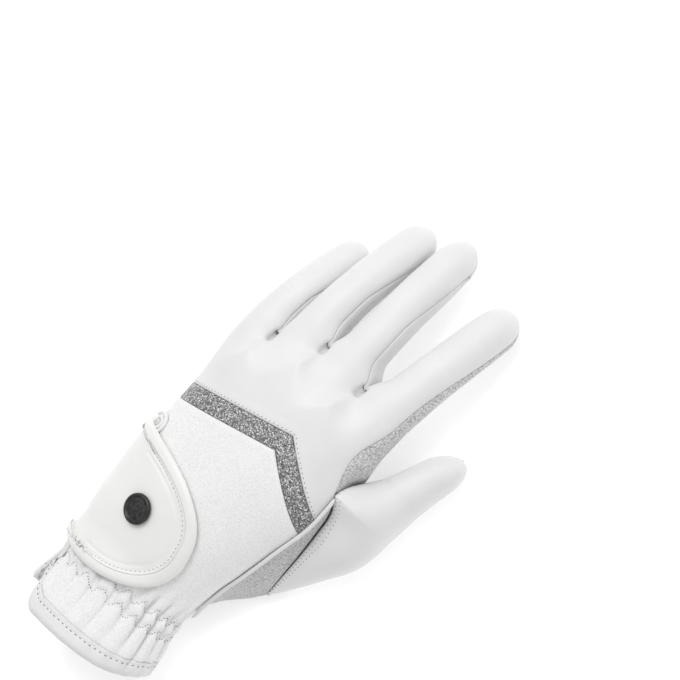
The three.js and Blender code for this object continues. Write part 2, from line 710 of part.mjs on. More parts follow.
// The turn across the back from one seam to the other, with a fixed share at the chevron's corner.
const CORNER_SHARE = 0.68;
function backTurn(y, v, first, cornerX) {
  const corner = turnAt(y, cornerX, 1);
  if (v <= CORNER_SHARE) return mix(first, corner, v / CORNER_SHARE);
  return mix(corner, seamTurn("thumb", y), (v - CORNER_SHARE) / (1 - CORNER_SHARE));
}
addWalled("glitter_band", glitter, LEATHER, [
  patch(2, 25, (u, v) =>
    chevronPoint(BAND_WIDTH * u, (y) =>
      backTurn(y, v, seamTurn("little", y), chevronTurn(BAND_WIDTH * u)),
    ),
  ),
]);

// Upper back with the four finger backs
const KNUCKLE_COLUMNS = 6;
const KNUCKLE_ROWS = 5;
function upperBackStart(index, w) {
  const point = chevronPoint(BAND_WIDTH, (y) => cellTurn(index, y, w, 1));
  return point.y;
}
const fingerIndexes = FINGERS.map((_, index) => index);
addWalled(
  "back_upper",
  whiteLeather,
  LEATHER,
  fingerIndexes.flatMap((index) => [
    patch(KNUCKLE_ROWS, KNUCKLE_COLUMNS, (u, w) => {
      const end = mix(forkLevel(index, 1), forkLevel(index + 1, 1), w);
      return knuckleCell(index, mix(upperBackStart(index, w), end, u), w, 1);
    }),
    patch(FINGER_ROWS, KNUCKLE_COLUMNS, (u, w, row) => fingerCell(index, row, w, 1)),
  ]),
);

// Lower back and cuff, cut by the wrist slit
const SLIT_CLEAR = SLIT_WIDTH / 2 + SLIT_EDGE;
const slitPeak = SLIT_TOP + SLIT_EDGE;
const lowerRows = [
  { station: (hem) => hem + HEM_WIDTH },
  { station: (hem) => mix(hem + HEM_WIDTH, ZIGZAG_LOW, 0.35) },
  { station: (hem) => mix(hem + HEM_WIDTH, ZIGZAG_LOW, 0.7) },
  { station: () => ZIGZAG_LOW },
  { station: () => (ZIGZAG_LOW + ZIGZAG_HIGH) / 2 },
  { station: () => ZIGZAG_HIGH },
  { station: () => ZIGZAG_HIGH + GATHER_FADE * 0.4 },
  { station: () => ZIGZAG_HIGH + GATHER_FADE },
  { station: () => mix(ZIGZAG_HIGH + GATHER_FADE, SLIT_TOP, 0.33) },
  { station: () => mix(ZIGZAG_HIGH + GATHER_FADE, SLIT_TOP, 0.66) },
  { station: () => SLIT_TOP },
  { station: () => slitPeak },
];

// The turn that a length along the section's edge takes near the slit.
function slitTurn(y, distance) {
  const turn = seamTurn("slit", y);
  const step = 0.02;
  const speed = handPoint(y, turn + step, 0, 0).distanceTo(handPoint(y, turn - step, 0, 0)) / (2 * step);
  return turn + distance / speed;
}
// How much nearer to the elastic line the hem runs, from one side of the slit round to the other.
// turn: degrees from the slit; rise: share of CUFF_LENGTH.
const HEM_RISE = table(
  ["turn", "rise"],
  [
    [0, 0],
    [90, 0],
    [150, 0.18],
    [220, 0.14],
    [290, 0.14],
    [360, 0.34],
  ],
);

// The hem's distance from the elastic line, rounded off at the slit's corners.
function hemAt(turn) {
  const apart = Math.abs(turn - seamTurn("slit", -CUFF_LENGTH));
  const distance = Math.min(apart, 2 * Math.PI - apart) * handSection(-CUFF_LENGTH).half;
  const round = (turn - seamTurn("slit", -CUFF_LENGTH)) / RAD;
  const along = round < 0 ? round + 360 : round;
  const radius = along < 180 ? HEM_ROUND : HEM_FAR_ROUND;
  const short = Math.max(0, radius - Math.max(0, distance - SLIT_WIDTH / 2));
  const rise = read(HEM_RISE, "rise", along, "turn") * CUFF_LENGTH;
  return -CUFF_LENGTH + rise + (HEM_CORNER * short ** 2) / radius;
}
// A distance from the elastic line that depends on the hem, at a turn that depends on the distance.
function settle(station, turnOf) {
  let y = -CUFF_LENGTH;
  for (let pass = 0; pass < 8; pass++) y = station(hemAt(turnOf(y)));
  return y;
}
const slitGap = (y) => (y < slitPeak - 0.01 ? SLIT_CLEAR : 0);

function lowerBackPoint(i, turnOf) {
  if (i === lowerRows.length) return chevronPoint(0, turnOf);
  const y = settle(lowerRows[i].station, turnOf);
  return handPoint(y, turnOf(y));
}
const cornerX = (y) => {
  const [s, top] = [handSection(Math.min(y, BAND_APEX)), handSection(BAND_APEX)];
  return s.centre + ((chevronTurn(0) - top.centre) * s.half) / top.half;
};
addWalled("back_lower", whiteFabric, FABRIC, [
  patch(lowerRows.length, 3, (u, v, i) =>
    lowerBackPoint(i, (y) => mix(seamTurn("little", y), slitTurn(y, -slitGap(y)), v)),
  ),
  patch(lowerRows.length, 25, (u, v, i) =>
    lowerBackPoint(i, (y) =>
      backTurn(y, v, slitTurn(y, slitGap(y)), i === lowerRows.length ? chevronTurn(0) : cornerX(y)),
    ),
  ),
]);

// Bound edges of the slit and of the cuff
const SLIT_ROWS = lowerRows.length - 1;
function slitStrip(side) {
  return patch(
    SLIT_ROWS,
    1,
    (u, v, i) => {
      const distance = side * mix(SLIT_WIDTH / 2, SLIT_CLEAR, v);
      if (i === SLIT_ROWS) return handPoint(mix(SLIT_TOP, slitPeak, v), slitTurn(SLIT_TOP, 0));
      const y = settle(lowerRows[i].station, (at) => slitTurn(at, distance));
      return handPoint(i === 0 ? y + SEAM_GAP / 2 : y, slitTurn(y, distance));
    },
    side < 0,
  );
}
addWalled("slit_binding", whiteLeather, BINDING, [slitStrip(-1), slitStrip(1)], { lift: BINDING_LIFT });
addWalled(
  "hem_binding",
  whiteLeather,
  BINDING,
  [
    patch(1, 72, (u, v) => {
      const turnOf = (y) => mix(slitTurn(y, SLIT_WIDTH / 2), slitTurn(y, -SLIT_WIDTH / 2) + 2 * Math.PI, v);
      const y = settle((hem) => hem + HEM_WIDTH * u, turnOf);
      return handPoint(y, turnOf(y));
    }),
  ],
  { lift: BINDING_LIFT },
);

// Palm side of the cuff
const CUFF_ROWS = 6;
addWalled("cuff_palm", whiteFabric, FABRIC, [
  patch(CUFF_ROWS, 32, (u, v, i) => {
    const turnOf = (y) => mix(seamTurn("thumb", y), seamTurn("little", y) + 2 * Math.PI, v);
    const y = i < CUFF_ROWS ? settle(lowerRows[i].station, turnOf) : CUFF_SEAM;
    return handPoint(y, turnOf(y));
  }),
]);

// Palm with the finger fronts, the side strip of the index finger and the two tip patches
const PALM_ROWS = 10;
const FORK_ROWS = 4;
const palmColumns = (index) => (index < 3 ? 5 : 4);
const palmWidth = (index) => (index < 3 ? 1 : SIDE_SPLIT);
const palmEnd = (index, w) => mix(forkLevel(index, -1), forkLevel(index + 1, -1), w);
addWalled(
  "palm_panel",
  whiteLeather,
  LEATHER,
  fingerIndexes.flatMap((index) => {
    const columns = palmColumns(index);
    const wide = palmWidth(index);
    const rows = index < 3 ? FINGER_ROWS : PATCH_ROW;
    return [
      patch(PALM_ROWS, columns, (u, v) => palmPoint(index, mix(CUFF_SEAM, THUMB_FORK, u), v * wide), true),
      patch(
        FORK_ROWS,
        columns,
        (u, v) => palmPoint(index, mix(THUMB_FORK, palmEnd(index, v * wide), u), v * wide),
        true,
      ),
      patch(rows, columns, (u, v, row) => fingerCell(index, row, v * wide, -1), true),
    ];
  }),
);
addWalled("index_tip_patch", whiteLeather, LEATHER, [
  patch(
    FINGER_ROWS - PATCH_ROW,
    4,
    (u, v, row) => fingerCell(3, row + PATCH_ROW, v * SIDE_SPLIT, -1),
    true,
  ),
]);
addWalled("index_side_strip", stripFabric, LEATHER, [
  patch(
    FORK_ROWS,
    3,
    (u, v) => {
      const w = mix(SIDE_SPLIT, 1, v);
      return handSide(mix(THUMB_FORK + 2 * SEAM_GAP, palmEnd(3, w), u), 1 - v);
    },
    true,
  ),
  patch(FINGER_ROWS, 3, (u, v, row) => fingerCell(3, row, mix(SIDE_SPLIT, 1, v), -1), true),
]);

// Side walls between the fingers
["little_ring", "ring_middle", "middle_index"].forEach((pair, i) => {
  const k = i + 1;
  addWalled(`fourchette_${pair}`, whiteLeather, LEATHER, [
    patch(WALL_ROWS, 3, (u, r, row) => wallPoint(k, 1, row, r)),
    patch(WALL_ROWS, 3, (u, r, row) => wallPoint(k, 0, row, r), true),
  ]);
});

// Thumb and gusset
const patchStart = THUMB_TIP - THUMB_PATCH;
// Distances along the thumb, closer together at its rounded tip.
function thumbRows(start, rows) {
  const roundStart = mix(THUMB_TIP, THUMB_ROOT, THUMB_ROUND);
  const straight = rows - ROUND_ROWS;
  return (i) => {
    if (i <= straight) return mix(start, roundStart, i / straight);
    return mix(roundStart, THUMB_TIP, Math.sin(((i - straight) / ROUND_ROWS) * (Math.PI / 2)));
  };
}
const tipRows = thumbRows(patchStart, 5);
const forkToPatch = (u) => mix(THUMB_FORK, patchStart, u);
addWalled("thumb_leather", whiteLeather, LEATHER, [
  patch(8, 10, (u, v) => thumbOuter(mix(THUMB_ROOT, THUMB_FORK, u), v)),
  patch(3, 10, (u, v) => thumbOuter(forkToPatch(u), v)),
  patch(5, 10, (u, v, i) => thumbOuter(tipRows(i), v)),
]);
addWalled("thumb_palm_strip", stripFabric, FABRIC, [
  patch(3, 4, (u, v) => stripPoint(mix(CUFF_SEAM, THUMB_ROOT, u), v), true),
  patch(8, 4, (u, v) => stripPoint(mix(THUMB_ROOT, THUMB_FORK, u), v), true),
  patch(3, 4, (u, v) => stripPoint(forkToPatch(u), v), true),
  patch(3, 3, (u, v) => thumbInner(forkToPatch(u), v), true),
]);
addWalled("thumb_tip_patch", whiteLeather, LEATHER, [
  patch(5, 4, (u, v, i) => stripPoint(tipRows(i), v), true),
  patch(5, 3, (u, v, i) => thumbInner(tipRows(i), v), true),
]);
addWalled("gusset_panel", whiteFabric, FABRIC, [
  patch(3, 4, (u, v) => gussetPoint(mix(CUFF_SEAM, THUMB_ROOT, u), v)),
  patch(8, 4, (u, v) => gussetPoint(mix(THUMB_ROOT, THUMB_FORK, u), v)),
]);

// Closure tab: nested D shapes over the back, their straight side sewn at the little finger's side
const TAB_ROOT = 14 * RAD;
const TAB_UPRIGHT = 2.6; // how square the D's corners are
const TAB_NOSE = 2.2;
const TAB_CLEAR = 0.9; // extra lift over the puffs of the elastic
function tabPoint(length, reach, angle, u, thick) {
  const y = TAB_MIDDLE + (length / 2) * signedPower(Math.sin(angle), 2 / TAB_UPRIGHT);
  const rootX = handPoint(y, TAB_ROOT, 0, 0).x;
  const x = rootX + reach * Math.abs(Math.cos(angle)) ** (2 / TAB_NOSE);
  const turn = mix(TAB_ROOT, turnAt(y, x, 1), u);
  const over = TAB_CLEAR * (1 - ease((y - ZIGZAG_HIGH + 6) / 14));
  return handPoint(y, turn, thick + over + mix(TAB_ROOT_LIFT, TAB_LIFT, ease(u / 0.4)), 0);
}
const TAB_COLUMNS = 22;
const TAB_EVEN = 0.065; // draws the corners of the tab's outline together near its root
// The outward direction of the hand's section at a point on or near it.
function sectionNormal({ x, y, z }) {
  const s = handSection(y);
  const across = signedPower((x - s.centre) / s.half, s.power - 1) / s.half;
  const up = signedPower((z - s.mid) / s.rise, s.power - 1) / s.rise;
  return new THREE.Vector3(across, 0, up).normalize();
}
const tabAngle = (share) => mix(-90, 90, share - TAB_EVEN * Math.sin(2 * Math.PI * share)) * RAD;
addWalled(
  "closure_tab",
  whiteLeather,
  TAB_THICK,
  [
    patch(TAB_COLUMNS, 8, (a, u) =>
      tabPoint(TAB_LENGTH - 2 * TAB_RIM, TAB_REACH - TAB_RIM, tabAngle(a), u, TAB_THICK),
    ),
  ],
  { layer: "tab", normalAt: sectionNormal },
);
addWalled(
  "tab_rim",
  whiteLeather,
  TAB_RIM_THICK,
  [
    patch(TAB_COLUMNS, 1, (a, u) =>
      tabPoint(
        TAB_LENGTH - 2 * TAB_RIM * (1 - u),
        TAB_REACH - TAB_RIM * (1 - u),
        tabAngle(a),
        1,
        TAB_RIM_THICK,
      ),
    ),
  ],
  { layer: "rim", normalAt: sectionNormal },
);

// The walled pieces as meshes
const glove = new THREE.Group();
const shapes = walled.map((piece) => {
  const shape = shapeOf(piece);
  const rim = openEdges(shape.faces).map(([a, b]) => {
    const line = new THREE.Line3(shape.points[a], shape.points[b]);
    return { a, b, line, length: line.distance() };
  });
  return { ...shape, rim, normals: piece.normalAt ? shape.points.map(piece.normalAt) : cornerNormals(shape) };
});
walled.forEach((piece, i) => {
  const neighbours = shapes.filter((_, k) => k !== i && walled[k].layer === piece.layer);
  const mesh = new THREE.Mesh(wallGeometry(piece, shapes[i], neighbours), piece.material.clone());
  mesh.name = piece.name;
  glove.add(mesh);
});

// Piping along the seam between the back and the gusset
class SeamCurve extends THREE.Curve {
  getPoint(t, target = new THREE.Vector3()) {
    const y = mix(ZIGZAG_HIGH, THUMB_FORK - 1, t);
    return target.copy(handPoint(y, seamTurn("thumb", y), PIPING_DIAMETER / 2 + SEAM_GAP + 0.15));
  }
}
const pipingSection = new THREE.Shape();
pipingSection.absarc(0, 0, PIPING_DIAMETER / 2, 0, 2 * Math.PI);
const piping = new THREE.Mesh(
  new THREE.ExtrudeGeometry(pipingSection, { steps: 24, curveSegments: 6, extrudePath: new SeamCurve() }),
  whiteLeather.clone(),
);
piping.name = "piping";
glove.add(piping);

// Snap button: a plain dished cap with a raised rim, square to the tab
function snapButton() {
  const r = BUTTON_DIAMETER / 2;
  const h = BUTTON_HEIGHT;
  const profile = [
    [0, 0],
    [0.86, 0],
    [1, 0.3],
    [1, 0.62],
    [0.93, 0.92],
    [0.82, 1],
    [0.72, 0.86],
    [0.62, 0.72],
    [0, 0.8],
  ].map(([across, up]) => new THREE.Vector2(across * r, up * h));
  const button = new THREE.Mesh(new THREE.LatheGeometry(profile, 28), darkMetal);
  const lift = TAB_THICK + TAB_LIFT + SEAM_GAP;
  const y = TAB_MIDDLE + 2;
  const turn = turnAt(y, handPoint(y, TAB_ROOT, 0, 0).x + BUTTON_ACROSS, 1);
  const seat = (dy, dTurn) => handPoint(y + dy, turn + dTurn, lift, 0);
  const along = seat(2, 0).sub(seat(-2, 0));
  const across = seat(0, 0.04).sub(seat(0, -0.04));
  const normal = across.cross(along).normalize();
  button.quaternion.setFromUnitVectors(new THREE.Vector3(0, 1, 0), normal);
  button.position.copy(seat(0, 0));
  button.name = "snap_button";
  return button;
}
glove.add(snapButton());

// The finished part's origin is under the middle of its outline
const bounds = new THREE.Box3().setFromObject(glove);
const middle = bounds.getCenter(new THREE.Vector3());
glove.position.set(-middle.x, -middle.y, -bounds.min.z);

export default glove;
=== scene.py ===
"""Dresses a horse riding glove around its model: leather, stretch fabric, glitter, stitches and a snap.

The glove is for the left hand and lies palm down in the form that it has when worn. Surfaces are worked out
in millimetres, with y = 0 at the elastic line of the wrist, and placed in the model's frame in metres.
"""

from __future__ import annotations

import logging
import math
from collections.abc import Callable, Sequence
from dataclasses import dataclass, field
from enum import Enum

import bmesh
import bpy
import numpy as np
from bpy.types import Material, Node, NodeLinks, NodeSocket, NodeTree, Nodes, Object
from mathutils import Matrix, Vector
from mathutils.bvhtree import BVHTree
from mathutils.kdtree import KDTree

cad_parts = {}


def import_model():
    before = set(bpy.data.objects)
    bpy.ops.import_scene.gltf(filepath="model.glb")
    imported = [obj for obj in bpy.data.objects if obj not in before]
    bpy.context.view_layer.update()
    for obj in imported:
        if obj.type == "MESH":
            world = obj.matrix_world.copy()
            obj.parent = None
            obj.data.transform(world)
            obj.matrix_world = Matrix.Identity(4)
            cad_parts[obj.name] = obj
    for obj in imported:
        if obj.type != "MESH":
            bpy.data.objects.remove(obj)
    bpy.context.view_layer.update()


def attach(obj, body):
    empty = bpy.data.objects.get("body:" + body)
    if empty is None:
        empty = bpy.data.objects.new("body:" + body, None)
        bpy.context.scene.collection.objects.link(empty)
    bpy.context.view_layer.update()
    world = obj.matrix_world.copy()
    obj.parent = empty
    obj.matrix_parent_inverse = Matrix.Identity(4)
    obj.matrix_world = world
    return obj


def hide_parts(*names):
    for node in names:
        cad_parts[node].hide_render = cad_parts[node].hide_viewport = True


Array = np.ndarray
Surface = Callable[[Array, Array], Array]
Path = Callable[[Array], Array]

LOG = logging.getLogger("glove")
METRES = 0.001
RAD = math.pi / 180
SHIFT = np.array([-18.965, -88.473, 0.0])  # the elastic line's origin in the model's frame
WELD = 0.02  # points of a sheet that are nearer than this, in millimetres, are one


class Side(Enum):
    """The back of the hand or its palm."""

    BACK = 1
    PALM = -1


def mix(a: Array, b: Array, share: Array) -> Array:
    """The value at a share of the way from a to b."""
    return a + (b - a) * share


def ease(value: Array) -> Array:
    """A smooth step from 0 to 1 for values from 0 to 1."""
    c = np.clip(value, 0, 1)
    return c * c * (3 - 2 * c)


def signed_power(value: Array, power: Array) -> Array:
    """A power that keeps the sign of its base."""
    return np.sign(value) * np.abs(value) ** power


def points(x: Array, y: Array, z: Array) -> Array:
    """Rows of three coordinates from three arrays of any matching shapes."""
    return np.stack(np.broadcast_arrays(np.asarray(x, float), y, z), axis=-1)


def unit(vectors: Array) -> Array:
    """The vectors at length 1, with zero vectors left at zero."""
    length = np.linalg.norm(vectors, axis=-1, keepdims=True)
    return vectors / np.maximum(length, 1e-12)


class Table:
    """Rows with named columns, read on a smooth curve through them. The first column gives the place."""

    def __init__(self, columns: Sequence[str], rows: Sequence[Sequence[float]]) -> None:
        """Keeps the rows by column.

        Args:
            columns: The columns' names.
            rows: The rows, from the lowest place to the highest.
        """
        values = np.array(rows, float)
        self.places = values[:, 0]
        self.columns = dict(zip(columns, values.T))

    def read(self, name: str, place: Array) -> Array:
        """The value of a column at a place.

        Args:
            name: The column.
            place: One place or many.

        Returns:
            The values, held at the first and last rows outside the table.
        """
        x, y = self.places, self.columns[name]
        at = np.clip(np.asarray(place, float), x[0], x[-1])
        i = np.clip(np.searchsorted(x, at, side="left") - 1, 0, len(x) - 2)
        ahead = np.minimum(np.arange(len(x)) + 1, len(x) - 1)
        behind = np.maximum(np.arange(len(x)) - 1, 0)
        slope = (y[ahead] - y[behind]) / (x[ahead] - x[behind])
        span = x[i + 1] - x[i]
        s = (at - x[i]) / span
        bend = (s**3 - 2 * s**2 + s) * slope[i] + (s**3 - s**2) * slope[i + 1]
        return mix(y[i], y[i + 1], 3 * s**2 - 2 * s**3) + span * bend


@dataclass(frozen=True)
class Finger:
    """A finger: centres across the hand as shares of the palm's width, and its other shares.

    root, fork, joint and tip are its centres from its start to its end. length is a share of the reach; half,
    its half width, is a share of the palm's width; and drop is a share of the palm's depth.
    """

    root: float
    fork: float
    joint: float
    tip: float
    length: float
    half: float
    drop: float

    def across(self, along: Array) -> Array:
        """The centre's place across the hand, as a share of the palm's width, at a share of the finger."""
        bends = [(0, self.root), (0.36, self.fork), (0.7, self.joint), (1, self.tip)]
        return Table(("along", "across"), bends).read("across", along)


@dataclass(frozen=True)
class Fork:
    """Where the line between two fingers meets the band and the fork, as shares of the palm's width.

    back and palm say how far up the fork lies on each side of the hand, as shares of the reach.
    """

    band: float
    across: float
    back: float
    palm: float


@dataclass
class HandForm:
    """The hand's surface that every piece of the glove lies on. Sizes are in millimetres."""

    reach: float = 211
    cuff_length: float = 31
    palm_width: float = 90
    palm_depth: float = 47
    thumb_fork: float = 98
    thumb_root: float = 39
    thumb_tip: float = 143.5
    zigzag_low: float = -5
    zigzag_high: float = 2.2
    gathers: float = 23
    gather_depth: float = 1.6
    hem_calm: float = 0.65
    gather_sway: float = 0.6
    gather_fade: float = 22
    puff_wave: float = 0.35
    puff_rise: float = 0.55
    pinch: float = 1.8
    pinch_fade: float = 11
    slit_top: float = 66
    slit_width: float = 1.2
    slit_flare: float = 2
    flare_turn: float = 70 * RAD
    band_width: float = 8.6
    band_apex: float = 94.5
    band_end: float = 77
    hem_round: float = 15
    hem_far_round: float = 5
    hem_corner: float = 0.65
    knuckle_ease: float = 28
    crotch_ease: float = 0.55
    fork_ease: float = 11
    fork_bow: float = 0.75
    thumb_ease: float = 18
    finger_root: float = 0.45
    tip_round: float = 0.1
    thumb_round: float = 0.12
    side_split: float = 0.62
    finger_rows: int = 11
    round_rows: int = 3
    wall_rows: int = 8
    patch_row: int = 6
    wall_turn: float = 32 * RAD
    little_seam: float = 12 * RAD
    index_seam: float = 33 * RAD
    thumb_palm_turn: float = -60 * RAD
    chevron_left: float = -0.38
    chevron_turn: float = 0.24
    chevron_right: float = 0.51
    corner_share: float = 0.68

    hand: Table = field(
        default_factory=lambda: Table(
            ("at", "centre", "half", "low", "top", "power", "slant"),
            [
                (-1.0, 0.043, 0.785, -0.03, 0.89, 2.05, 0.17),
                (-0.5, 0.032, 0.75, -0.01, 0.84, 2.1, 0.14),
                (-0.16, 0.016, 0.72, 0.02, 0.8, 2.2, 0.12),
                (0.02, 0.008, 0.705, 0.02, 0.8, 2.2, 0.12),
                (0.12, 0.003, 0.778, -0.03, 0.87, 2.25, 0.08),
                (0.2, 0.022, 0.848, -0.05, 0.92, 2.3, 0.04),
                (0.285, 0.045, 0.92, -0.05, 0.96, 2.3, 0.0),
                (0.41, 0.095, 1.01, -0.02, 1.0, 2.3, 0.0),
                (0.555, 0.075, 1.0, 0.19, 0.99, 2.3, 0.0),
                (0.66, 0.085, 1.0, 0.34, 0.93, 2.3, 0.0),
                (0.76, 0.085, 1.0, 0.4, 0.88, 2.3, 0.0),
            ],
        )
    )
    seams: Table = field(
        default_factory=lambda: Table(
            ("at", "little", "slit", "thumb"),
            [
                (-1.0, 12, 34, 192),
                (-0.15, 12, 29, 192),
                (0.02, 12, 28, 191),
                (0.12, 12, 28, 181),
                (0.2, 12, 30, 175),
                (0.285, 12, 33, 168),
                (0.36, 12, 36, 161),
                (0.41, 12, 37, 157),
                (0.46, 12, 38, 156),
                (0.51, 12, 38, 151),
                (0.6, 12, 38, 147),
                (0.66, 12, 38, 153),
            ],
        )
    )
    # From the little finger to the index finger
    fingers: tuple[Finger, ...] = (
        Finger(-0.3, -0.325, -0.325, -0.32, 0.845, 0.096, 0.03),
        Finger(-0.075, -0.105, -0.115, -0.115, 0.965, 0.109, 0.0),
        Finger(0.155, 0.152, 0.125, 0.09, 1.0, 0.11, 0.0),
        Finger(0.43, 0.445, 0.475, 0.49, 0.958, 0.112, 0.06),
    )
    arch: Table = field(
        default_factory=lambda: Table(
            ("along", "rise", "wide", "deep"),
            [
                (0.0, 0.62, 1.2, 1.2),
                (0.35, 0.61, 1.08, 1.12),
                (0.6, 0.53, 0.98, 1.0),
                (0.82, 0.35, 0.95, 0.92),
                (1.0, 0.17, 0.86, 0.84),
            ],
        )
    )
    forks: tuple[Fork, ...] = (
        Fork(-0.4, -0.4, 0.605, 0.605),
        Fork(-0.215, -0.23, 0.603, 0.615),
        Fork(0.02, 0.028, 0.66, 0.668),
        Fork(0.26, 0.29, 0.65, 0.665),
        Fork(0.6, 0.6, 0.65, 0.65),
    )
    thumb: Table = field(
        default_factory=lambda: Table(
            ("at", "across", "half", "up", "deep", "inner", "outer"),
            [
                (0.0, 0.44, 0.1, 0.215, 0.2, 200, 200),
                (0.1, 0.488, 0.133, 0.235, 0.225, 150, 238),
                (0.25, 0.555, 0.161, 0.255, 0.26, 110, 258),
                (0.39, 0.627, 0.172, 0.266, 0.272, 80, 262),
                (0.565, 0.672, 0.153, 0.262, 0.268, 60, 262),
                (0.7, 0.705, 0.122, 0.248, 0.25, 20, 262),
                (0.84, 0.748, 0.1, 0.215, 0.217, 2, 262),
                (1.0, 0.795, 0.085, 0.178, 0.182, 0, 262),
            ],
        )
    )
    hem_rise: Table = field(
        default_factory=lambda: Table(
            ("turn", "rise"), [(0, 0), (90, 0), (150, 0.18), (220, 0.14), (290, 0.14), (360, 0.34)]
        )
    )

    def __post_init__(self) -> None:
        """Works out the seams that leave the hand's sections."""
        fork = self.hand_point(self.thumb_fork, self.seam_turn("thumb", self.thumb_fork))
        root = self.thumb_point(self.thumb_root, self.thumb_turn("outer", self.thumb_root))
        self.fork_point = fork
        self.back_seam = self.seam_table(
            [(0.52, 0.553, 0.27), (0.67, 0.57, 0.4), (0.81, 0.579, 0.52), (0.92, 0.578, 0.61)],
            first=(self.thumb_root, root[0], root[2]),
            last=(self.thumb_fork, fork[0], fork[2]),
        )
        self.palm_thumb_seam = self.seam_table(
            [(0.1, 0.15, 0.0), (0.4, 0.28, 0.0), (0.7, 0.37, 0.0), (0.88, 0.45, 0.03), (1.0, 0.51, 0.1)]
        )
        self.strip_outer_seam = self.seam_table(
            [(0.1, 0.285, 0.015), (0.2, 0.36, 0.02), (0.31, 0.46, 0.05)],
            last=(self.thumb_root, root[0], root[2]),
        )

    def seam_table(
        self,
        rows: Sequence[tuple[float, float, float]],
        first: tuple[float, ...] | None = None,
        last: tuple[float, ...] | None = None,
    ) -> Table:
        """A seam across the hand.

        Args:
            rows: Shares of the thumb fork's distance, the palm's width and the palm's depth.
            first: A row in millimetres before them.
            last: A row in millimetres after them.

        Returns:
            The seam's table in millimetres.
        """
        sizes = np.array([self.thumb_fork, self.palm_width, self.palm_depth])
        whole = [tuple(np.array(row) * sizes) for row in rows]
        whole = ([first] if first else []) + whole + ([last] if last else [])
        return Table(("at", "across", "up"), whole)

    def hand_place(self, y: Array) -> Array:
        """The place in the hand's tables of a distance from the elastic line."""
        y = np.asarray(y, float)
        return np.where(y < 0, y / self.cuff_length, y / self.reach)

    def seam_turn(self, name: str, y: Array) -> Array:
        """The turn round the section, in radians, of a main seam."""
        return self.seams.read(name, self.hand_place(y)) * RAD

    def section(self, y: Array) -> dict[str, Array]:
        """The hand's section at a distance from the elastic line.

        Args:
            y: The distance.

        Returns:
            Its centre, half width, middle, rise, power and slant.
        """
        at = self.hand_place(y)
        low = self.hand.read("low", at) * self.palm_depth
        top = self.hand.read("top", at) * self.palm_depth
        return {
            "centre": self.hand.read("centre", at) * self.palm_width,
            "half": self.hand.read("half", at) * self.palm_width / 2,
            "mid": (low + top) / 2,
            "rise": (top - low) / 2,
            "power": self.hand.read("power", at),
            "slant": self.hand.read("slant", at),
        }

    def place(self, x: Array, y: Array, z: Array) -> Array:
        """A point leant forward as the section is, and kept on or above the surface below."""
        s = self.section(y)
        return points(x, y + s["slant"] * (x - s["centre"]), np.maximum(z, 0))

    def gather_phase(self, turn: Array) -> Array:
        """The gathers' phase at a turn round the wrist, with the folds unevenly apart."""
        return self.gathers * turn + self.gather_sway * np.sin(2 * turn)

    def gather(self, y: Array, turn: Array) -> Array:
        """How far the gathered cloth stands out.

        Folds fade out down the cuff and up the back, the cloth puffs out between the elastic rows, and narrow
        pinches of uneven depth and length run down from them.
        """
        wave = np.cos(self.gather_phase(turn))
        down = (self.zigzag_low - y) / (self.cuff_length + self.zigzag_low)
        between = (y - self.zigzag_low) / (self.zigzag_high - self.zigzag_low)
        calm = 1 - self.hem_calm * ease((down - 0.45) / 0.45)
        hanging = wave * calm * (0.2 + 0.12 * np.sin(math.pi * np.clip(down * 0.85, 0, 1)))
        puffed = self.puff_wave * wave + self.puff_rise * np.sin(math.pi * between)
        fading = self.puff_wave * wave * (1 - ease((y - self.zigzag_high) / self.gather_fade))
        ripple = self.gather_depth * np.where(down > 0, hanging, np.where(between < 1, puffed, fading))
        deeper = 0.62 + 0.38 * ease((turn - 50 * RAD) / (80 * RAD))
        uneven = deeper * (0.85 + 0.35 * np.sin(5.3 * turn + 1))
        below = np.clip(down, 0, 1)
        run = 0.75 + 0.25 * np.sin(7.7 * turn + 0.5)
        span = (1 - ease(below / run)) * (1 - ease((y - self.zigzag_high) / self.pinch_fade))
        narrow = 0.3 - 0.22 * below
        return ripple - self.pinch * uneven * span * np.exp(-(((1 + wave) / narrow) ** 2))

    def flare(self, y: Array, turn: Array) -> Array:
        """How far the cuff on the little finger's side of the slit stands out."""
        near = self.flare_turn
        slit = self.seam_turn("slit", y)
        out = self.slit_flare * ease(-y / (0.7 * self.cuff_length)) * ease((turn - slit + near) / near)
        return np.where(turn >= slit, 0, out)

    def hand_point(self, y: Array, turn: Array, lift: Array = 0.0, ripple: float = 1.0) -> Array:
        """The hand's surface.

        Args:
            y: Distance from the elastic line.
            turn: Turn round the section, from the little finger's side over the back.
            lift: How far the point is raised off the surface.
            ripple: How much of the gathers shows.

        Returns:
            The points.
        """
        y, turn = np.asarray(y, float), np.asarray(turn, float)
        s = self.section(y)
        beyond = np.where(turn > 1.5 * math.pi, turn - 2 * math.pi, turn)
        out = lift + ripple * self.gather(y, turn) + self.flare(y, beyond)
        x = s["centre"] - (s["half"] + out) * signed_power(np.cos(turn), 2 / s["power"])
        z = s["mid"] + (s["rise"] + out) * signed_power(np.sin(turn), 2 / s["power"])
        return self.place(x, y, z)

    def turn_at(self, y: Array, x: Array, side: Side) -> Array:
        """The turn at which the back or the palm has a given x."""
        s = self.section(y)
        share = np.clip((s["centre"] - x) / s["half"], -1, 1)
        return side.value * np.arccos(signed_power(share, s["power"] / 2))

    def finger_start(self) -> float:
        """Where the fingers' centre lines start."""
        return self.finger_root * self.reach

    def finger_end(self, finger: Finger) -> float:
        """The distance of a fingertip from the elastic line."""
        return finger.length * self.reach

    def finger_centre(self, finger: Finger, y: Array) -> Array:
        """A point of a finger's centre line."""
        along = (y - self.finger_start()) / (self.finger_end(finger) - self.finger_start())
        rise = self.arch.read("rise", along) - finger.drop * (1 - np.clip(along, 0, 1))
        return points(finger.across(along) * self.palm_width, y, rise * self.palm_depth)

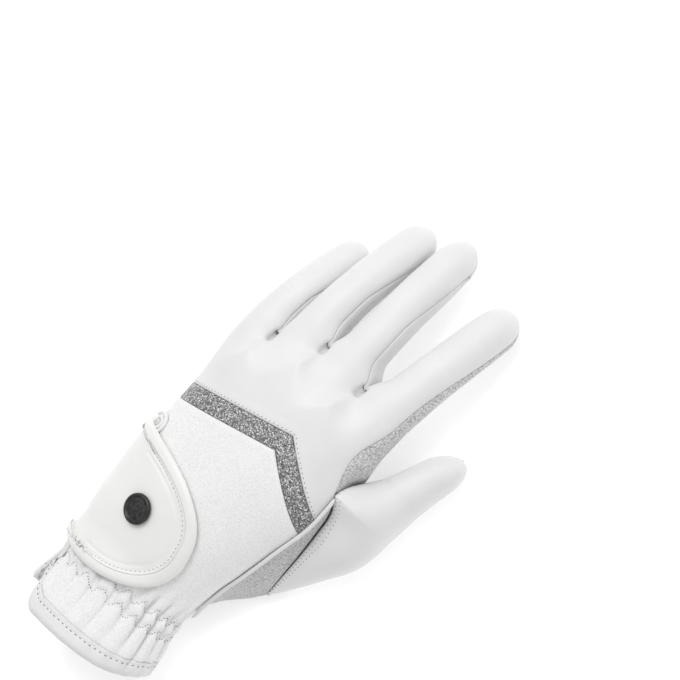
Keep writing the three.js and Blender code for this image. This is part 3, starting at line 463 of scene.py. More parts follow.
    def finger_point(self, finger: Finger, y: Array, turn: Array) -> Array:
        """A finger's surface.

        Args:
            finger: The finger.
            y: Distance from the elastic line.
            turn: Turn round the finger.

        Returns:
            The points.
        """
        y, turn = np.broadcast_arrays(np.asarray(y, float), turn)
        end = self.finger_end(finger)
        along = (y - self.finger_start()) / (end - self.finger_start())
        step = 0.5
        ahead = self.finger_centre(finger, np.minimum(y + step, end))
        behind = self.finger_centre(finger, np.minimum(y, end - step) - step)
        forward = unit(ahead - behind)
        side = unit(np.cross(forward, (0.0, 0.0, 1.0)))
        up = np.cross(side, forward)
        rounded = np.clip((along - (1 - self.tip_round)) / self.tip_round, 0, 1)
        half = finger.half * self.palm_width * np.sqrt(np.maximum(0, 1 - rounded**2))
        wide = half * self.arch.read("wide", along) * signed_power(np.cos(turn), 0.9)
        deep = half * self.arch.read("deep", along) * signed_power(np.sin(turn), 0.9)
        point = self.finger_centre(finger, y) - side * wide[..., None] + up * deep[..., None]
        point[..., 2] = np.maximum(point[..., 2], 0)
        return point

    def row_share(self, row: Array) -> Array:
        """The share of a finger that a row stands for, closer together where the tip rounds off."""
        straight = self.finger_rows - self.round_rows
        body = 0.86
        late = np.sin(np.clip((row - straight) / self.round_rows, 0, 1) * math.pi / 2)
        return np.where(row <= straight, body * row / straight, mix(body, 1, late))

    def row_level(self, start: Array, shared: Array, end: Array, row: Array) -> Array:
        """A row's distance from the elastic line, from its own start to a level that neighbours share."""
        return mix(mix(start, shared, np.clip(row / self.wall_rows, 0, 1)), end, self.row_share(row))

    def wall_half(self, row: Array) -> Array:
        """Half the turn of the side wall between two fingers, narrowing to nothing near the tip."""
        return self.wall_turn * np.clip((self.wall_rows - row) / 4.5, 0, 1)

    def finger_seams(self, index: int, row: Array) -> tuple[Array, Array]:
        """Turns of a finger's seams on the little finger's side and on the thumb's side."""
        fade = 1 - ease(self.row_share(row))
        left = self.little_seam * fade if index == 0 else self.wall_half(row)
        right = self.index_seam * fade if index == len(self.fingers) - 1 else self.wall_half(row)
        return left, right

    def fork_level(self, k: int, side: Side) -> float:
        """How far up a fork lies on one side of the hand."""
        fork = self.forks[k]
        return (fork.back if side is Side.BACK else fork.palm) * self.reach

    def shared_level(self, k: int) -> float:
        """The mean of a fork's levels on the back and on the palm."""
        return (self.fork_level(k, Side.BACK) + self.fork_level(k, Side.PALM)) / 2

    def is_fork(self, k: int) -> bool:
        """True for a fork between two fingers, false for the outer ends of the same line."""
        return 0 < k < len(self.fingers)

    def chevron_slope(self, end: float) -> float:
        """The slope of the leg of the band that runs to one end."""
        return (self.band_apex - self.band_end) / ((self.chevron_turn - end) * self.palm_width)

    def chevron(self, x: Array, offset: Array) -> Array:
        """The band's distance from the elastic line at x, at an offset across the band."""
        from_apex = x - self.chevron_turn * self.palm_width
        legs = [
            self.band_apex + slope * from_apex + offset * math.hypot(1, slope)
            for slope in (self.chevron_slope(self.chevron_left), self.chevron_slope(self.chevron_right))
        ]
        return np.minimum(*legs)

    def chevron_corner(self, offset: Array) -> Array:
        """The x at which the band turns, at an offset across the band."""
        left = self.chevron_slope(self.chevron_left)
        right = self.chevron_slope(self.chevron_right)
        shift = offset * (math.hypot(1, right) - math.hypot(1, left)) / (left - right)
        return self.chevron_turn * self.palm_width + shift

    def line_turn(self, k: int, y: Array, side: Side) -> Array:
        """The turn of the line between two fingers' parts of the back or palm."""
        if k == 0:
            return self.seam_turn("little", y)
        if k == len(self.fingers):
            return self.seam_turn("thumb", y) - (0 if side is Side.BACK else 2 * math.pi)
        start = self.chevron(self.chevron_corner(self.band_width), self.band_width)
        blend = ease((y - start) / (self.fork_level(k, side) - start))
        corner = self.chevron_corner(self.band_width)
        band = corner if k == 3 else self.forks[k].band * self.palm_width
        return self.turn_at(y, mix(band, self.forks[k].across * self.palm_width, blend), side)

    def cell_turn(self, index: int, y: Array, w: Array, side: Side) -> Array:
        """The turn at a share w across a finger's part of the hand."""
        return mix(self.line_turn(index, y, side), self.line_turn(index + 1, y, side), w)

    def cell_base(self, index: int, y: Array, w: Array, side: Side, fork_y: Array, row: Array) -> Array:
        """A finger's part of the back or palm before its edges are fitted.

        Args:
            index: The finger's number.
            y: Distance from the elastic line.
            w: Share across, from the little finger's side.
            side: Back or palm.
            fork_y: Distance at which the hand has turned into the finger.
            row: The finger's row.

        Returns:
            The points.
        """
        left, right = self.finger_seams(index, row)
        first, last = index == 0, index == len(self.fingers) - 1
        if side is Side.BACK:
            start, stop = left, math.pi - right
        else:
            start = left if first else -left
            stop = (-right if last else right) - math.pi
        on_finger = self.finger_point(self.fingers[index], y, mix(start, stop, w))
        by_fork = np.maximum((1 - w) * self.is_fork(index), w * self.is_fork(index + 1)) ** 3
        span = self.knuckle_ease * (1 - self.crotch_ease * by_fork)
        blend = ease((y - fork_y + span) / span)
        on_hand = self.hand_point(y, self.cell_turn(index, y, w, side))
        return mix(on_hand, on_finger, np.broadcast_to(blend, on_hand.shape[:-1])[..., None])

    def valley(self, k: int, y: Array, side: Side) -> Array:
        """The groove that leads to a fork."""
        level = self.fork_level(k, side)
        before = self.cell_base(k - 1, y, np.ones_like(y), side, level, 0.0)
        after = self.cell_base(k, y, np.zeros_like(y), side, level, 0.0)
        return (before + after) / 2

    def fork_line(self, k: int, r: Array) -> Array:
        """The line from the back's fork point (r = 0) to the palm's (r = 1)."""
        top = self.valley(k, np.full_like(r, self.fork_level(k, Side.BACK)), Side.BACK)
        bottom = self.valley(k, np.full_like(r, self.fork_level(k, Side.PALM)), Side.PALM)
        line = mix(top, bottom, r[..., None])
        line[..., 1] += 4 * self.fork_bow * r * (1 - r)
        return line

    def wall_point(self, k: int, edge: int, row: Array, r: Array) -> Array:
        """The wall between two fingers at a fork.

        Args:
            k: The fork's number.
            edge: 1 for the wall on the finger before it, 0 for the finger after it.
            row: The finger's row.
            r: Share of the way from the back to the palm.

        Returns:
            The points.
        """
        row, r = np.broadcast_arrays(np.asarray(row, float), r)
        finger = self.fingers[k - edge]
        start = mix(self.fork_level(k, Side.BACK), self.fork_level(k, Side.PALM), r)
        y = self.row_level(start, self.shared_level(k), self.finger_end(finger), row)

        def turn_on(on_row: Array) -> Array:
            wall = self.wall_half(on_row)
            return math.pi - wall + 2 * wall * r if edge == 1 else wall - 2 * wall * r

        shift = self.fork_line(k, r) - self.finger_point(finger, start, turn_on(np.zeros_like(row)))
        fade = 1 - ease((y - start) / self.fork_ease)
        return self.finger_point(finger, y, turn_on(row)) + shift * fade[..., None]

    def knuckle_cell(self, index: int, y: Array, w: Array, side: Side) -> Array:
        """A finger's part of the hand before the forks, with its edges drawn into the grooves."""
        y, w = (a.astype(float) for a in np.broadcast_arrays(y, w))
        fork_y = mix(self.fork_level(index, side), self.fork_level(index + 1, side), w)
        point = self.cell_base(index, y, w, side, fork_y, 0.0)
        for edge in (0, 1):
            k = index + edge
            if not self.is_fork(k):
                continue
            level = self.fork_level(k, side)
            edge_y = y + level - fork_y
            own = self.cell_base(index, edge_y, np.full_like(w, edge), side, level, 0.0)
            shift = self.valley(k, edge_y, side) - own
            point = point + shift * ((w if edge else 1 - w) ** 2)[..., None]
        return point

    def finger_cell(self, index: int, row: Array, w: Array, side: Side) -> Array:
        """A finger's back or front past its forks."""
        row, w = (a.astype(float) for a in np.broadcast_arrays(row, w))
        end = self.finger_end(self.fingers[index])
        start = mix(self.fork_level(index, side), self.fork_level(index + 1, side), w)
        shared = mix(self.shared_level(index), self.shared_level(index + 1), w)
        point = self.cell_base(index, self.row_level(start, shared, end, row), w, side, start, row)
        for edge in (0, 1):
            k = index + edge
            if not self.is_fork(k):
                continue
            level = self.fork_level(k, side)
            edge_y = self.row_level(level, self.shared_level(k), end, row)
            own = self.cell_base(index, edge_y, np.full_like(w, edge), side, level, row)
            r = np.zeros_like(w) if side is Side.BACK else np.ones_like(w)
            shift = self.wall_point(k, edge, row, r) - own
            point = point + shift * ((w if edge else 1 - w) ** 2)[..., None]
        return point

    def thumb_turn(self, name: str, y: Array) -> Array:
        """The turn round the thumb of one of its long seams."""
        at = (np.asarray(y, float) - self.thumb_root) / (self.thumb_tip - self.thumb_root)
        return self.thumb.read(name, at) * RAD

    def thumb_point(self, y: Array, turn: Array) -> Array:
        """The thumb's surface at a distance from the elastic line and a turn round it."""
        at = (np.asarray(y, float) - self.thumb_root) / (self.thumb_tip - self.thumb_root)
        rounded = np.clip((at - (1 - self.thumb_round)) / self.thumb_round, 0, 1)
        close = np.sqrt(np.maximum(0, 1 - rounded**2))
        wide = self.thumb.read("half", at) * self.palm_width * close
        deep = self.thumb.read("deep", at) * self.palm_depth * close
        x = self.thumb.read("across", at) * self.palm_width - wide * signed_power(np.cos(turn), 0.9)
        z = self.thumb.read("up", at) * self.palm_depth + deep * signed_power(np.sin(turn), 0.9)
        return self.place(x, y, z)

    def on_seam(self, seam: Table, y: Array) -> Array:
        """A point of a seam that is given by its own table."""
        return self.place(seam.read("across", y), np.asarray(y, float), seam.read("up", y))

    def strip_seam(self, y: Array) -> Array:
        """The seam between the thumb's palm strip and its outer leather."""
        below = self.on_seam(self.strip_outer_seam, y)
        above = self.thumb_point(y, self.thumb_turn("outer", y))
        return np.where((np.asarray(y) < self.thumb_root)[..., None], below, above)

    def thumb_fork_line(self, r: Array) -> Array:
        """The line of the thumb's fork from the back (r = 0) to the palm (r = 1)."""
        line = mix(self.fork_point, self.on_seam(self.palm_thumb_seam, self.thumb_fork), r[..., None])
        line[..., 0] += 2 * r * (1 - r)
        line[..., 1] += 5 * r * (1 - r)
        return line

    def from_fork(self, y: Array, r: Array, surface: Surface) -> Array:
        """Fades out the difference between a surface and the thumb's fork line as the fork opens."""
        y, r = (a.astype(float) for a in np.broadcast_arrays(y, r))
        shift = self.thumb_fork_line(r) - surface(np.full_like(y, self.thumb_fork), r)
        fade = 1 - ease((y - self.thumb_fork) / self.thumb_ease)
        return surface(y, r) + shift * fade[..., None]

    def thumb_inner(self, y: Array, r: Array) -> Array:
        """The inner side of the thumb, r from the back to the palm."""

        def surface(at: Array, share: Array) -> Array:
            return self.thumb_point(at, mix(self.thumb_turn("inner", at), self.thumb_palm_turn, share))

        return self.from_fork(y, r, surface)

    def hand_side(self, y: Array, r: Array) -> Array:
        """The side of the hand that faces the thumb, r from the back to the palm."""
        return self.from_fork(
            y, r, lambda at, share: self.knuckle_cell(3, at, mix(1.0, self.side_split, share), Side.PALM)
        )

    def thumb_outer(self, y: Array, v: Array) -> Array:
        """The outer leather of the thumb between its two long seams."""
        y, v = (a.astype(float) for a in np.broadcast_arrays(y, v))
        below = self.on_seam(self.back_seam, y)
        edge = np.where((y < self.thumb_fork)[..., None], below, self.thumb_inner(y, np.zeros_like(y)))
        inner = self.thumb_turn("inner", y)
        shift = edge - self.thumb_point(y, inner)
        point = self.thumb_point(y, mix(inner, self.thumb_turn("outer", y), v))
        return point + shift * ((1 - v) ** 2)[..., None]

    def strip_point(self, y: Array, v: Array) -> Array:
        """The strip on the palm side of the thumb, v from the palm to the outer leather."""
        y, v = (a.astype(float) for a in np.broadcast_arrays(y, v))
        past = (y >= self.thumb_fork)[..., None]
        start = np.where(past, self.thumb_inner(y, np.ones_like(y)), self.on_seam(self.palm_thumb_seam, y))
        flat = mix(start, self.strip_seam(y), v[..., None])
        first = np.full_like(y, self.thumb_palm_turn)
        rounded = self.thumb_point(y, mix(first, self.thumb_turn("outer", y) - 2 * math.pi, v))
        rounded = rounded + (start - self.thumb_point(y, first)) * ((1 - v) ** 2)[..., None]
        blend = ease((y - self.thumb_fork) / self.thumb_ease)
        return mix(flat, rounded, blend[..., None])

    def gusset_point(self, y: Array, v: Array) -> Array:
        """The gusset between the back and the thumb, v from the back to the thumb."""
        y, v = (a.astype(float) for a in np.broadcast_arrays(y, v))
        seam = self.seam_turn("thumb", y)
        start = self.hand_point(y, seam)
        below = (y < self.thumb_root)[..., None]
        stop = np.where(below, self.strip_seam(y), self.on_seam(self.back_seam, y))
        straight = mix(start, stop, v[..., None])
        far = self.turn_at(y, stop[..., 0], Side.PALM) + 2 * math.pi
        shift = stop - self.hand_point(y, far)
        rounded = self.hand_point(y, mix(seam, far, v)) + shift * (v**2)[..., None]
        return mix(rounded, straight, ease(y / self.thumb_root)[..., None])

    def palm_edge_turn(self, y: Array) -> Array:
        """The turn of the palm's edge below the thumb's fork."""
        last = self.cell_turn(3, self.thumb_fork, self.side_split, Side.PALM)
        edge = self.turn_at(y, self.on_seam(self.palm_thumb_seam, y)[..., 0], Side.PALM)
        return mix(last, edge, ease((self.thumb_fork - y) / 30))

    def palm_point(self, index: int, y: Array, w: Array) -> Array:
        """The palm: index and w as in the fingers' parts of the palm."""
        y, w = (a.astype(float) for a in np.broadcast_arrays(y, w))
        first = self.cell_turn(0, self.thumb_fork, 0.0, Side.PALM)
        last = self.cell_turn(3, self.thumb_fork, self.side_split, Side.PALM)
        share = (self.cell_turn(index, self.thumb_fork, w, Side.PALM) - first) / (last - first)
        low = self.hand_point(y, mix(self.seam_turn("little", y), self.palm_edge_turn(y), share))
        high = self.knuckle_cell(index, y, w, Side.PALM)
        above = (y >= self.thumb_fork)[..., None]
        point = np.where(above, high, low)
        if index < 3:
            return point
        ones = np.ones_like(y)
        edge = np.where(above, self.hand_side(y, ones), self.on_seam(self.palm_thumb_seam, y))
        on_palm = self.knuckle_cell(3, y, self.side_split * ones, Side.PALM)
        own = np.where(above, on_palm, self.hand_point(y, self.palm_edge_turn(y)))
        return point + (edge - own) * ((w / self.side_split) ** 2)[..., None]

    def hem_at(self, turn: Array) -> Array:
        """The hem's distance from the elastic line, rounded off at the slit's corners."""
        slit = self.seam_turn("slit", -self.cuff_length)
        apart = np.abs(turn - slit)
        half = self.section(-self.cuff_length)["half"]
        distance = np.minimum(apart, 2 * math.pi - apart) * half
        along = ((turn - slit) / RAD) % 360
        along = np.where((along == 0) & (turn > slit), 360.0, along)
        radius = np.where(along < 180, self.hem_round, self.hem_far_round)
        short = np.maximum(0, radius - np.maximum(0, distance - self.slit_width / 2))
        rise = self.hem_rise.read("rise", along) * self.cuff_length
        return -self.cuff_length + rise + self.hem_corner * short**2 / radius

    def settle(self, station: Path, turn_of: Path, like: Array) -> Array:
        """A distance that depends on the hem, at a turn that depends on the distance."""
        y = np.full_like(like, -self.cuff_length)
        for _ in range(8):
            y = station(self.hem_at(turn_of(y)))
        return y

    def slit_side(self, y: Array, distance: Array) -> Array:
        """The turn at a length along the section's edge from the slit."""
        turn = self.seam_turn("slit", y)
        step = 0.02
        ahead = self.hand_point(y, turn + step, ripple=0.0)
        behind = self.hand_point(y, turn - step, ripple=0.0)
        return turn + distance * 2 * step / np.linalg.norm(ahead - behind, axis=-1)

    def chevron_y(self, offset: Array, turn_of: Path, like: Array) -> Array:
        """The distance of an edge of the band, at a turn that depends on the distance."""
        y = np.full_like(like, 1.0) * self.chevron(self.chevron_corner(offset), offset)
        for _ in range(8):
            y = self.chevron(self.hand_point(y, turn_of(y))[..., 0], offset)
        return y

    def back_turn(self, y: Array, v: Array, first: Array, corner_x: Array) -> Array:
        """The turn across the back from one seam to the other, with a fixed share at the band's corner."""
        corner = self.turn_at(y, corner_x, Side.BACK)
        near = mix(first, corner, v / self.corner_share)
        far = mix(corner, self.seam_turn("thumb", y), (v - self.corner_share) / (1 - self.corner_share))
        return np.where(v <= self.corner_share, near, far)


HAND = HandForm()


@dataclass(frozen=True)
class Patch:
    """A stretch of a piece's surface over the unit square, u along it and v across."""

    surface: Surface
    rows: int
    columns: int
    flip: bool = False


@dataclass(frozen=True)
class Crease:
    """A line along which a surface is pressed in, or raised where depth is below zero."""

    path: Path
    depth: float
    width: float

    def samples(self, spacing: float = 0.3) -> Array:
        """Points along the line.

        Args:
            spacing: The distance between them.

        Returns:
            The points in millimetres.
        """
        return even_points(self.path, spacing)[0]


def even_points(path: Path, spacing: float) -> tuple[Array, Array]:
    """Points at even distances along a path.

    Args:
        path: The path over shares from 0 to 1.
        spacing: The distance between the points.

    Returns:
        The points, and the path's direction at each.
    """
    fine = path(np.linspace(0, 1, 1200))
    steps = np.linalg.norm(np.diff(fine, axis=0), axis=1)
    run = np.concatenate([[0], np.cumsum(steps)])
    count = max(2, int(round(run[-1] / spacing)) + 1)
    at = np.linspace(0, run[-1], count)
    where = np.stack([np.interp(at, run, fine[:, k]) for k in range(3)], axis=1)
    return where, unit(np.gradient(where, axis=0))


def nearest_distances(targets: Array, places: Array, reach: float) -> Array:
    """The distance from each place to the nearest target, at most a little past the reach.

    Args:
        targets: The targets.
        places: The places.
        reach: The distance past which the answer doesn't matter.

    Returns:
        One distance for each place.
    """
    tree = KDTree(len(targets))
    for i, target in enumerate(targets):
        tree.insert(target, i)
    tree.balance()
    low, high = targets.min(axis=0) - reach, targets.max(axis=0) + reach
    near = np.all((places >= low) & (places <= high), axis=1)
    distances = np.full(len(places), reach * 2)
    for i in np.nonzero(near)[0]:
        distances[i] = tree.find(places[i])[2]
    return distances


def undulation(places: Array) -> Array:
    """The faint unevenness of worn leather and cloth: two broad waves that cross at a slant."""
    x, y, z = places.T
    first = np.sin(x / 5.3 + 0.7 * np.sin(y / 11)) * np.sin(y / 8.7 + z / 6)
    second = np.sin((x + y) / 3.9 + 1.3) * np.sin((x - y) / 6.1 + z / 9)
    return 0.13 * first + 0.06 * second


@dataclass
class Shell:
    """A piece of cloth or leather: patches of the hand's surface with relief and a wall.

    roll is how far its cut edges turn in over roll_width, and puff how far it swells beside them.
    """

    name: str
    node: str
    slot: str
    patches: list[Patch]
    thickness: float
    roll: float = 0.4
    roll_width: float = 1.3
    puff: float = 0.12
    puff_at: float = 2.6
    puff_width: float = 1.3
    puff_reach: float = 3
    clearance: float = 0.02
    lift: float = 0.0
    draw_back: float = 0.05
    creases: list[Crease] = field(default_factory=list)

    def build(self, material: Material) -> Object:
        """Makes the piece and puts it in the model's frame.

        Args:
            material: Its finish.

        Returns:
            The object.
        """
        bm = bmesh.new()
        for patch in self.patches:
            self.add_patch(bm, patch)
        bmesh.ops.remove_doubles(bm, verts=bm.verts, dist=WELD)
        bm.normal_update()
        self.shape(bm)
        placed = finish_mesh(bm, self.name, material)
        wall = placed.modifiers.new("wall", "SOLIDIFY")
        wall.thickness = self.thickness * METRES
        wall.offset = -1
        claim(placed, self.slot, self.node)
        return placed

    def add_patch(self, bm: bmesh.types.BMesh, patch: Patch) -> None:
        """Adds a grid and lays it on its surface."""
        before = len(bm.verts)
        made = bmesh.ops.create_grid(bm, x_segments=patch.columns, y_segments=patch.rows, size=0.5)["verts"]
        flat = np.array([vert.co for vert in made])
        placed = patch.surface(np.clip(flat[:, 1] + 0.5, 0, 1), np.clip(flat[:, 0] + 0.5, 0, 1))
        for vert, where in zip(made, placed):
            vert.co = where
        if patch.flip:
            bm.verts.ensure_lookup_table()
            fresh = {vert for vert in bm.verts[before:]}
            bmesh.ops.reverse_faces(bm, faces=[f for f in bm.faces if f.verts[0] in fresh])

    def shape(self, bm: bmesh.types.BMesh) -> None:
        """Draws the edges back from the seams, rolls them in and presses the creases."""
        bm.verts.index_update()
        normals = np.array([vert.normal for vert in bm.verts])
        places = np.array([vert.co for vert in bm.verts])
        inward = np.zeros_like(places)
        rim = []
        for edge in bm.edges:
            if len(edge.link_loops) != 1:
                continue
            loop = edge.link_loops[0]
            a, b = loop.vert.index, loop.link_loop_next.vert.index
            across = unit(np.cross(normals[a] + normals[b], places[b] - places[a]))
            inward[a] += across
            inward[b] += across
            rim += [a, b]
        rim = sorted(set(rim))
        edge_distance = nearest_distances(places[rim], places, self.puff_at + self.puff_reach)
        height = np.full(len(places), self.lift)
        height -= self.roll * np.clip(1 - edge_distance / self.roll_width, 0, 1) ** 2
        height += self.puff * np.exp(-(((edge_distance - self.puff_at) / self.puff_width) ** 2))
        for crease in self.creases:
            away = nearest_distances(crease.samples(), places, crease.width * 3)
            height -= crease.depth * np.exp(-((away / crease.width) ** 2))
        height += undulation(places)
        moved = places + normals * height[:, None] + unit(inward) * self.draw_back
        moved[:, 2] = np.maximum(moved[:, 2], self.clearance)
        for vert, where in zip(bm.verts, moved):
            vert.co = where


def finish_mesh(bm: bmesh.types.BMesh, name: str, material: Material) -> Object:
    """Turns a mesh in millimetres from the elastic line into a smooth object in the model's frame.

    Args:
        bm: The mesh, which is freed.
        name: The object's name.
        material: Its finish.

    Returns:
        The object.
    """
    for face in bm.faces:
        face.smooth = True
    bmesh.ops.translate(bm, verts=bm.verts, vec=SHIFT)
    bmesh.ops.scale(bm, verts=bm.verts, vec=(METRES,) * 3)
    mesh = bpy.data.meshes.new(name)
    bm.to_mesh(mesh)
    bm.free()
    mesh.materials.append(material)
    made = bpy.data.objects.new(name, mesh)
    bpy.context.scene.collection.objects.link(made)
    return made


def claim(made: Object, slot: str, *nodes: str) -> None:
    """Sets a piece's body, hides the nodes that it stands for, and reports it with its slot."""
    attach(made, "root")
    if nodes:
        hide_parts(*nodes)
    LOG.info("%s: %d faces, slot %s, for %s", made.name, len(made.data.polygons), slot, nodes or "no node")


class Finishes:
    """The glove's materials, made from shader nodes."""

    def __init__(self) -> None:
        """Makes every finish once."""
        self.leather = self.smooth_leather("white_leather", (0.8, 0.8, 0.8), 0.46)
        self.tab_leather = self.smooth_leather("tab_leather", (0.875, 0.875, 0.855), 0.44)
        self.stretch = self.knit("stretch_fabric", (0.95, 0.95, 0.945), (0.77, 0.77, 0.775))
        self.strip = self.knit("strip_fabric", (0.78, 0.78, 0.785), (0.3, 0.3, 0.31), 1150)
        # The gusset's finish is the stretch fabric painted darker: painted shade for the shadow that falls on
        # the gusset beside the thumb.
        self.gusset = self.knit("gusset_shaded_stretch_fabric", (0.7, 0.7, 0.7), (0.32, 0.32, 0.325), 1500)
        self.glitter = self.flakes("silver_glitter")
        self.metal = self.dark_metal("dark_metal")
        self.thread = self.plain("white_thread", (0.93, 0.93, 0.92), 0.6)
        # Dark spindles laid between stitches: painted shade that stands for the shadow in each needle
        # puncture.
        self.mark = self.plain("needle_hole_shade", (0.2, 0.2, 0.205), 0.9)

    @staticmethod
    def start(name: str, roughness: float) -> tuple[Material, Nodes, NodeLinks]:
        """An empty material with its principled shader.

        Args:
            name: The material's name.
            roughness: The shader's roughness.

        Returns:
            The material, its nodes and its links.
        """
        made = bpy.data.materials.new(name)
        made.use_nodes = True
        nodes, links = made.node_tree.nodes, made.node_tree.links
        nodes["Principled BSDF"].inputs["Roughness"].default_value = roughness
        return made, nodes, links

    @staticmethod
    def texture(nodes: Nodes, links: NodeLinks, kind: str, scale: float, **sizes: float) -> Node:
        """A texture node on the object's own coordinates.

        Args:
            nodes: The material's nodes.
            links: Its links.
            kind: The node's type.
            scale: Cells or waves in a metre.
            sizes: Further inputs, by name in lower case.

        Returns:
            The node.
        """
        place = nodes.get("place") or nodes.new("ShaderNodeTexCoord")
        place.name = "place"
        made = nodes.new(kind)
        made.inputs["Scale"].default_value = scale
        for name, value in sizes.items():
            made.inputs[name.capitalize()].default_value = value
        links.new(place.outputs["Object"], made.inputs["Vector"])
        return made

    @staticmethod
    def ramp(
        nodes: Nodes, links: NodeLinks, source: NodeSocket, stops: Sequence[tuple[float, Sequence[float]]]
    ) -> Node:
        """A colour ramp.

        Args:
            nodes: The material's nodes.
            links: Its links.
            source: What drives it.
            stops: Places and colours.

        Returns:
            The node.
        """
        made = nodes.new("ShaderNodeValToRGB")
        elements = made.color_ramp.elements
        while len(elements) < len(stops):
            elements.new(0.5)
        for element, (place, colour) in zip(elements, stops):
            element.position = place
            element.color = (*colour, 1)
        links.new(source, made.inputs["Fac"])
        return made

    @staticmethod
    def bump(nodes: Nodes, links: NodeLinks, heights: Sequence[tuple[NodeSocket, float]]) -> None:
        """Chains bumps into the shader's normal.

        Args:
            nodes: The material's nodes.
            links: Its links.
            heights: Height sockets and how many millimetres each stands for.
        """
        normal = None
        for height, depth in heights:
            made = nodes.new("ShaderNodeBump")
            made.inputs["Strength"].default_value = 1.0
            made.inputs["Distance"].default_value = depth * METRES
            links.new(height, made.inputs["Height"])
            if normal is not None:
                links.new(normal, made.inputs["Normal"])
            normal = made.outputs["Normal"]
        links.new(normal, nodes["Principled BSDF"].inputs["Normal"])

    def smooth_leather(self, name: str, colour: Sequence[float], roughness: float) -> Material:
        """Smooth leather with a fine grain and a faint unevenness.

        Args:
            name: The material's name.
            colour: Its base colour.
            roughness: How matte it is.

        Returns:
            The material.
        """
        made, nodes, links = self.start(name, roughness)
        shader = nodes["Principled BSDF"]
        cloud = self.texture(nodes, links, "ShaderNodeTexNoise", 60, detail=3)
        darker = [value * 0.965 for value in colour]
        tone = self.ramp(nodes, links, cloud.outputs["Fac"], [(0.3, darker), (0.7, colour)])
        links.new(tone.outputs["Color"], shader.inputs["Base Color"])
        grain = self.texture(nodes, links, "ShaderNodeTexVoronoi", 1500)
        pores = self.texture(nodes, links, "ShaderNodeTexNoise", 2600, detail=2)
        shader.inputs["Sheen Weight"].default_value = 0.08
        fine = [(grain.outputs["Distance"], 0.03), (pores.outputs["Fac"], 0.03)]
        self.bump(nodes, links, [(cloud.outputs["Fac"], 0.25), *fine])
        return made

    def knit(
        self, name: str, colour: Sequence[float], low: Sequence[float], loops_per_metre: float = 2000
    ) -> Material:
        """Fine stretch fabric with small speckles between its loops.

        Args:
            name: The material's name.
            colour: The loops' colour.
            low: The colour between them.
            loops_per_metre: How fine it is.

        Returns:
            The material.
        """
        made, nodes, links = self.start(name, 0.85)
        shader = nodes["Principled BSDF"]
        loops = self.texture(nodes, links, "ShaderNodeTexVoronoi", loops_per_metre)
        cloud = self.texture(nodes, links, "ShaderNodeTexNoise", loops_per_metre * 0.95, detail=2)
        tone = self.ramp(nodes, links, loops.outputs["Distance"], [(0.25, colour), (0.75, low)])
        speckle = self.ramp(nodes, links, cloud.outputs["Fac"], [(0.38, low), (0.52, colour)])
        both = nodes.new("ShaderNodeMix")
        both.data_type = "RGBA"
        both.inputs["Factor"].default_value = 0.5
        links.new(tone.outputs["Color"], both.inputs["A"])
        links.new(speckle.outputs["Color"], both.inputs["B"])
        links.new(both.outputs["Result"], shader.inputs["Base Color"])
        shader.inputs["Sheen Weight"].default_value = 0.25
        self.bump(nodes, links, [(loops.outputs["Distance"], -0.08), (cloud.outputs["Fac"], 0.06)])
        return made

    def flakes(self, name: str) -> Material:
        """Silver glitter: small flakes, each with its own tone and tilt."""
        made, nodes, links = self.start(name, 0.42)
        shader = nodes["Principled BSDF"]
        cells = self.texture(nodes, links, "ShaderNodeTexVoronoi", 2300)
        shade = nodes.new("ShaderNodeSeparateColor")
        links.new(cells.outputs["Color"], shade.inputs["Color"])
        stops = [(0.0, (0.07,) * 3), (0.35, (0.2,) * 3), (0.75, (0.42,) * 3), (0.97, (0.95,) * 3)]
        tone = self.ramp(nodes, links, shade.outputs["Red"], stops)
        links.new(tone.outputs["Color"], shader.inputs["Base Color"])
        shader.inputs["Metallic"].default_value = 0.35
        self.bump(nodes, links, [(shade.outputs["Green"], 0.25), (cells.outputs["Distance"], 0.1)])
        return made

    def dark_metal(self, name: str) -> Material:
        """Dark plated metal with a faint brushing."""
        made, nodes, links = self.start(name, 0.3)
        shader = nodes["Principled BSDF"]
        cloud = self.texture(nodes, links, "ShaderNodeTexNoise", 700, detail=3)
        tone = self.ramp(nodes, links, cloud.outputs["Fac"], [(0.3, (0.025,) * 3), (0.7, (0.07,) * 3)])
        links.new(tone.outputs["Color"], shader.inputs["Base Color"])
        shader.inputs["Metallic"].default_value = 0.7
        self.bump(nodes, links, [(cloud.outputs["Fac"], 0.03)])
        return made

    def plain(self, name: str, colour: Sequence[float], roughness: float) -> Material:
        """A thread, or a dark spot of painted shade that stands for the shadow in a needle puncture: one
        tone, uneven at the scale of its fibres.
        """
        made, nodes, links = self.start(name, roughness)
        fibre = self.texture(nodes, links, "ShaderNodeTexNoise", 4000, detail=2)
        darker = [value * 0.85 for value in colour]
        tone = self.ramp(nodes, links, fibre.outputs["Fac"], [(0.35, darker), (0.65, colour)])
        links.new(tone.outputs["Color"], nodes["Principled BSDF"].inputs["Base Color"])
        self.bump(nodes, links, [(fibre.outputs["Fac"], 0.05)])
        return made


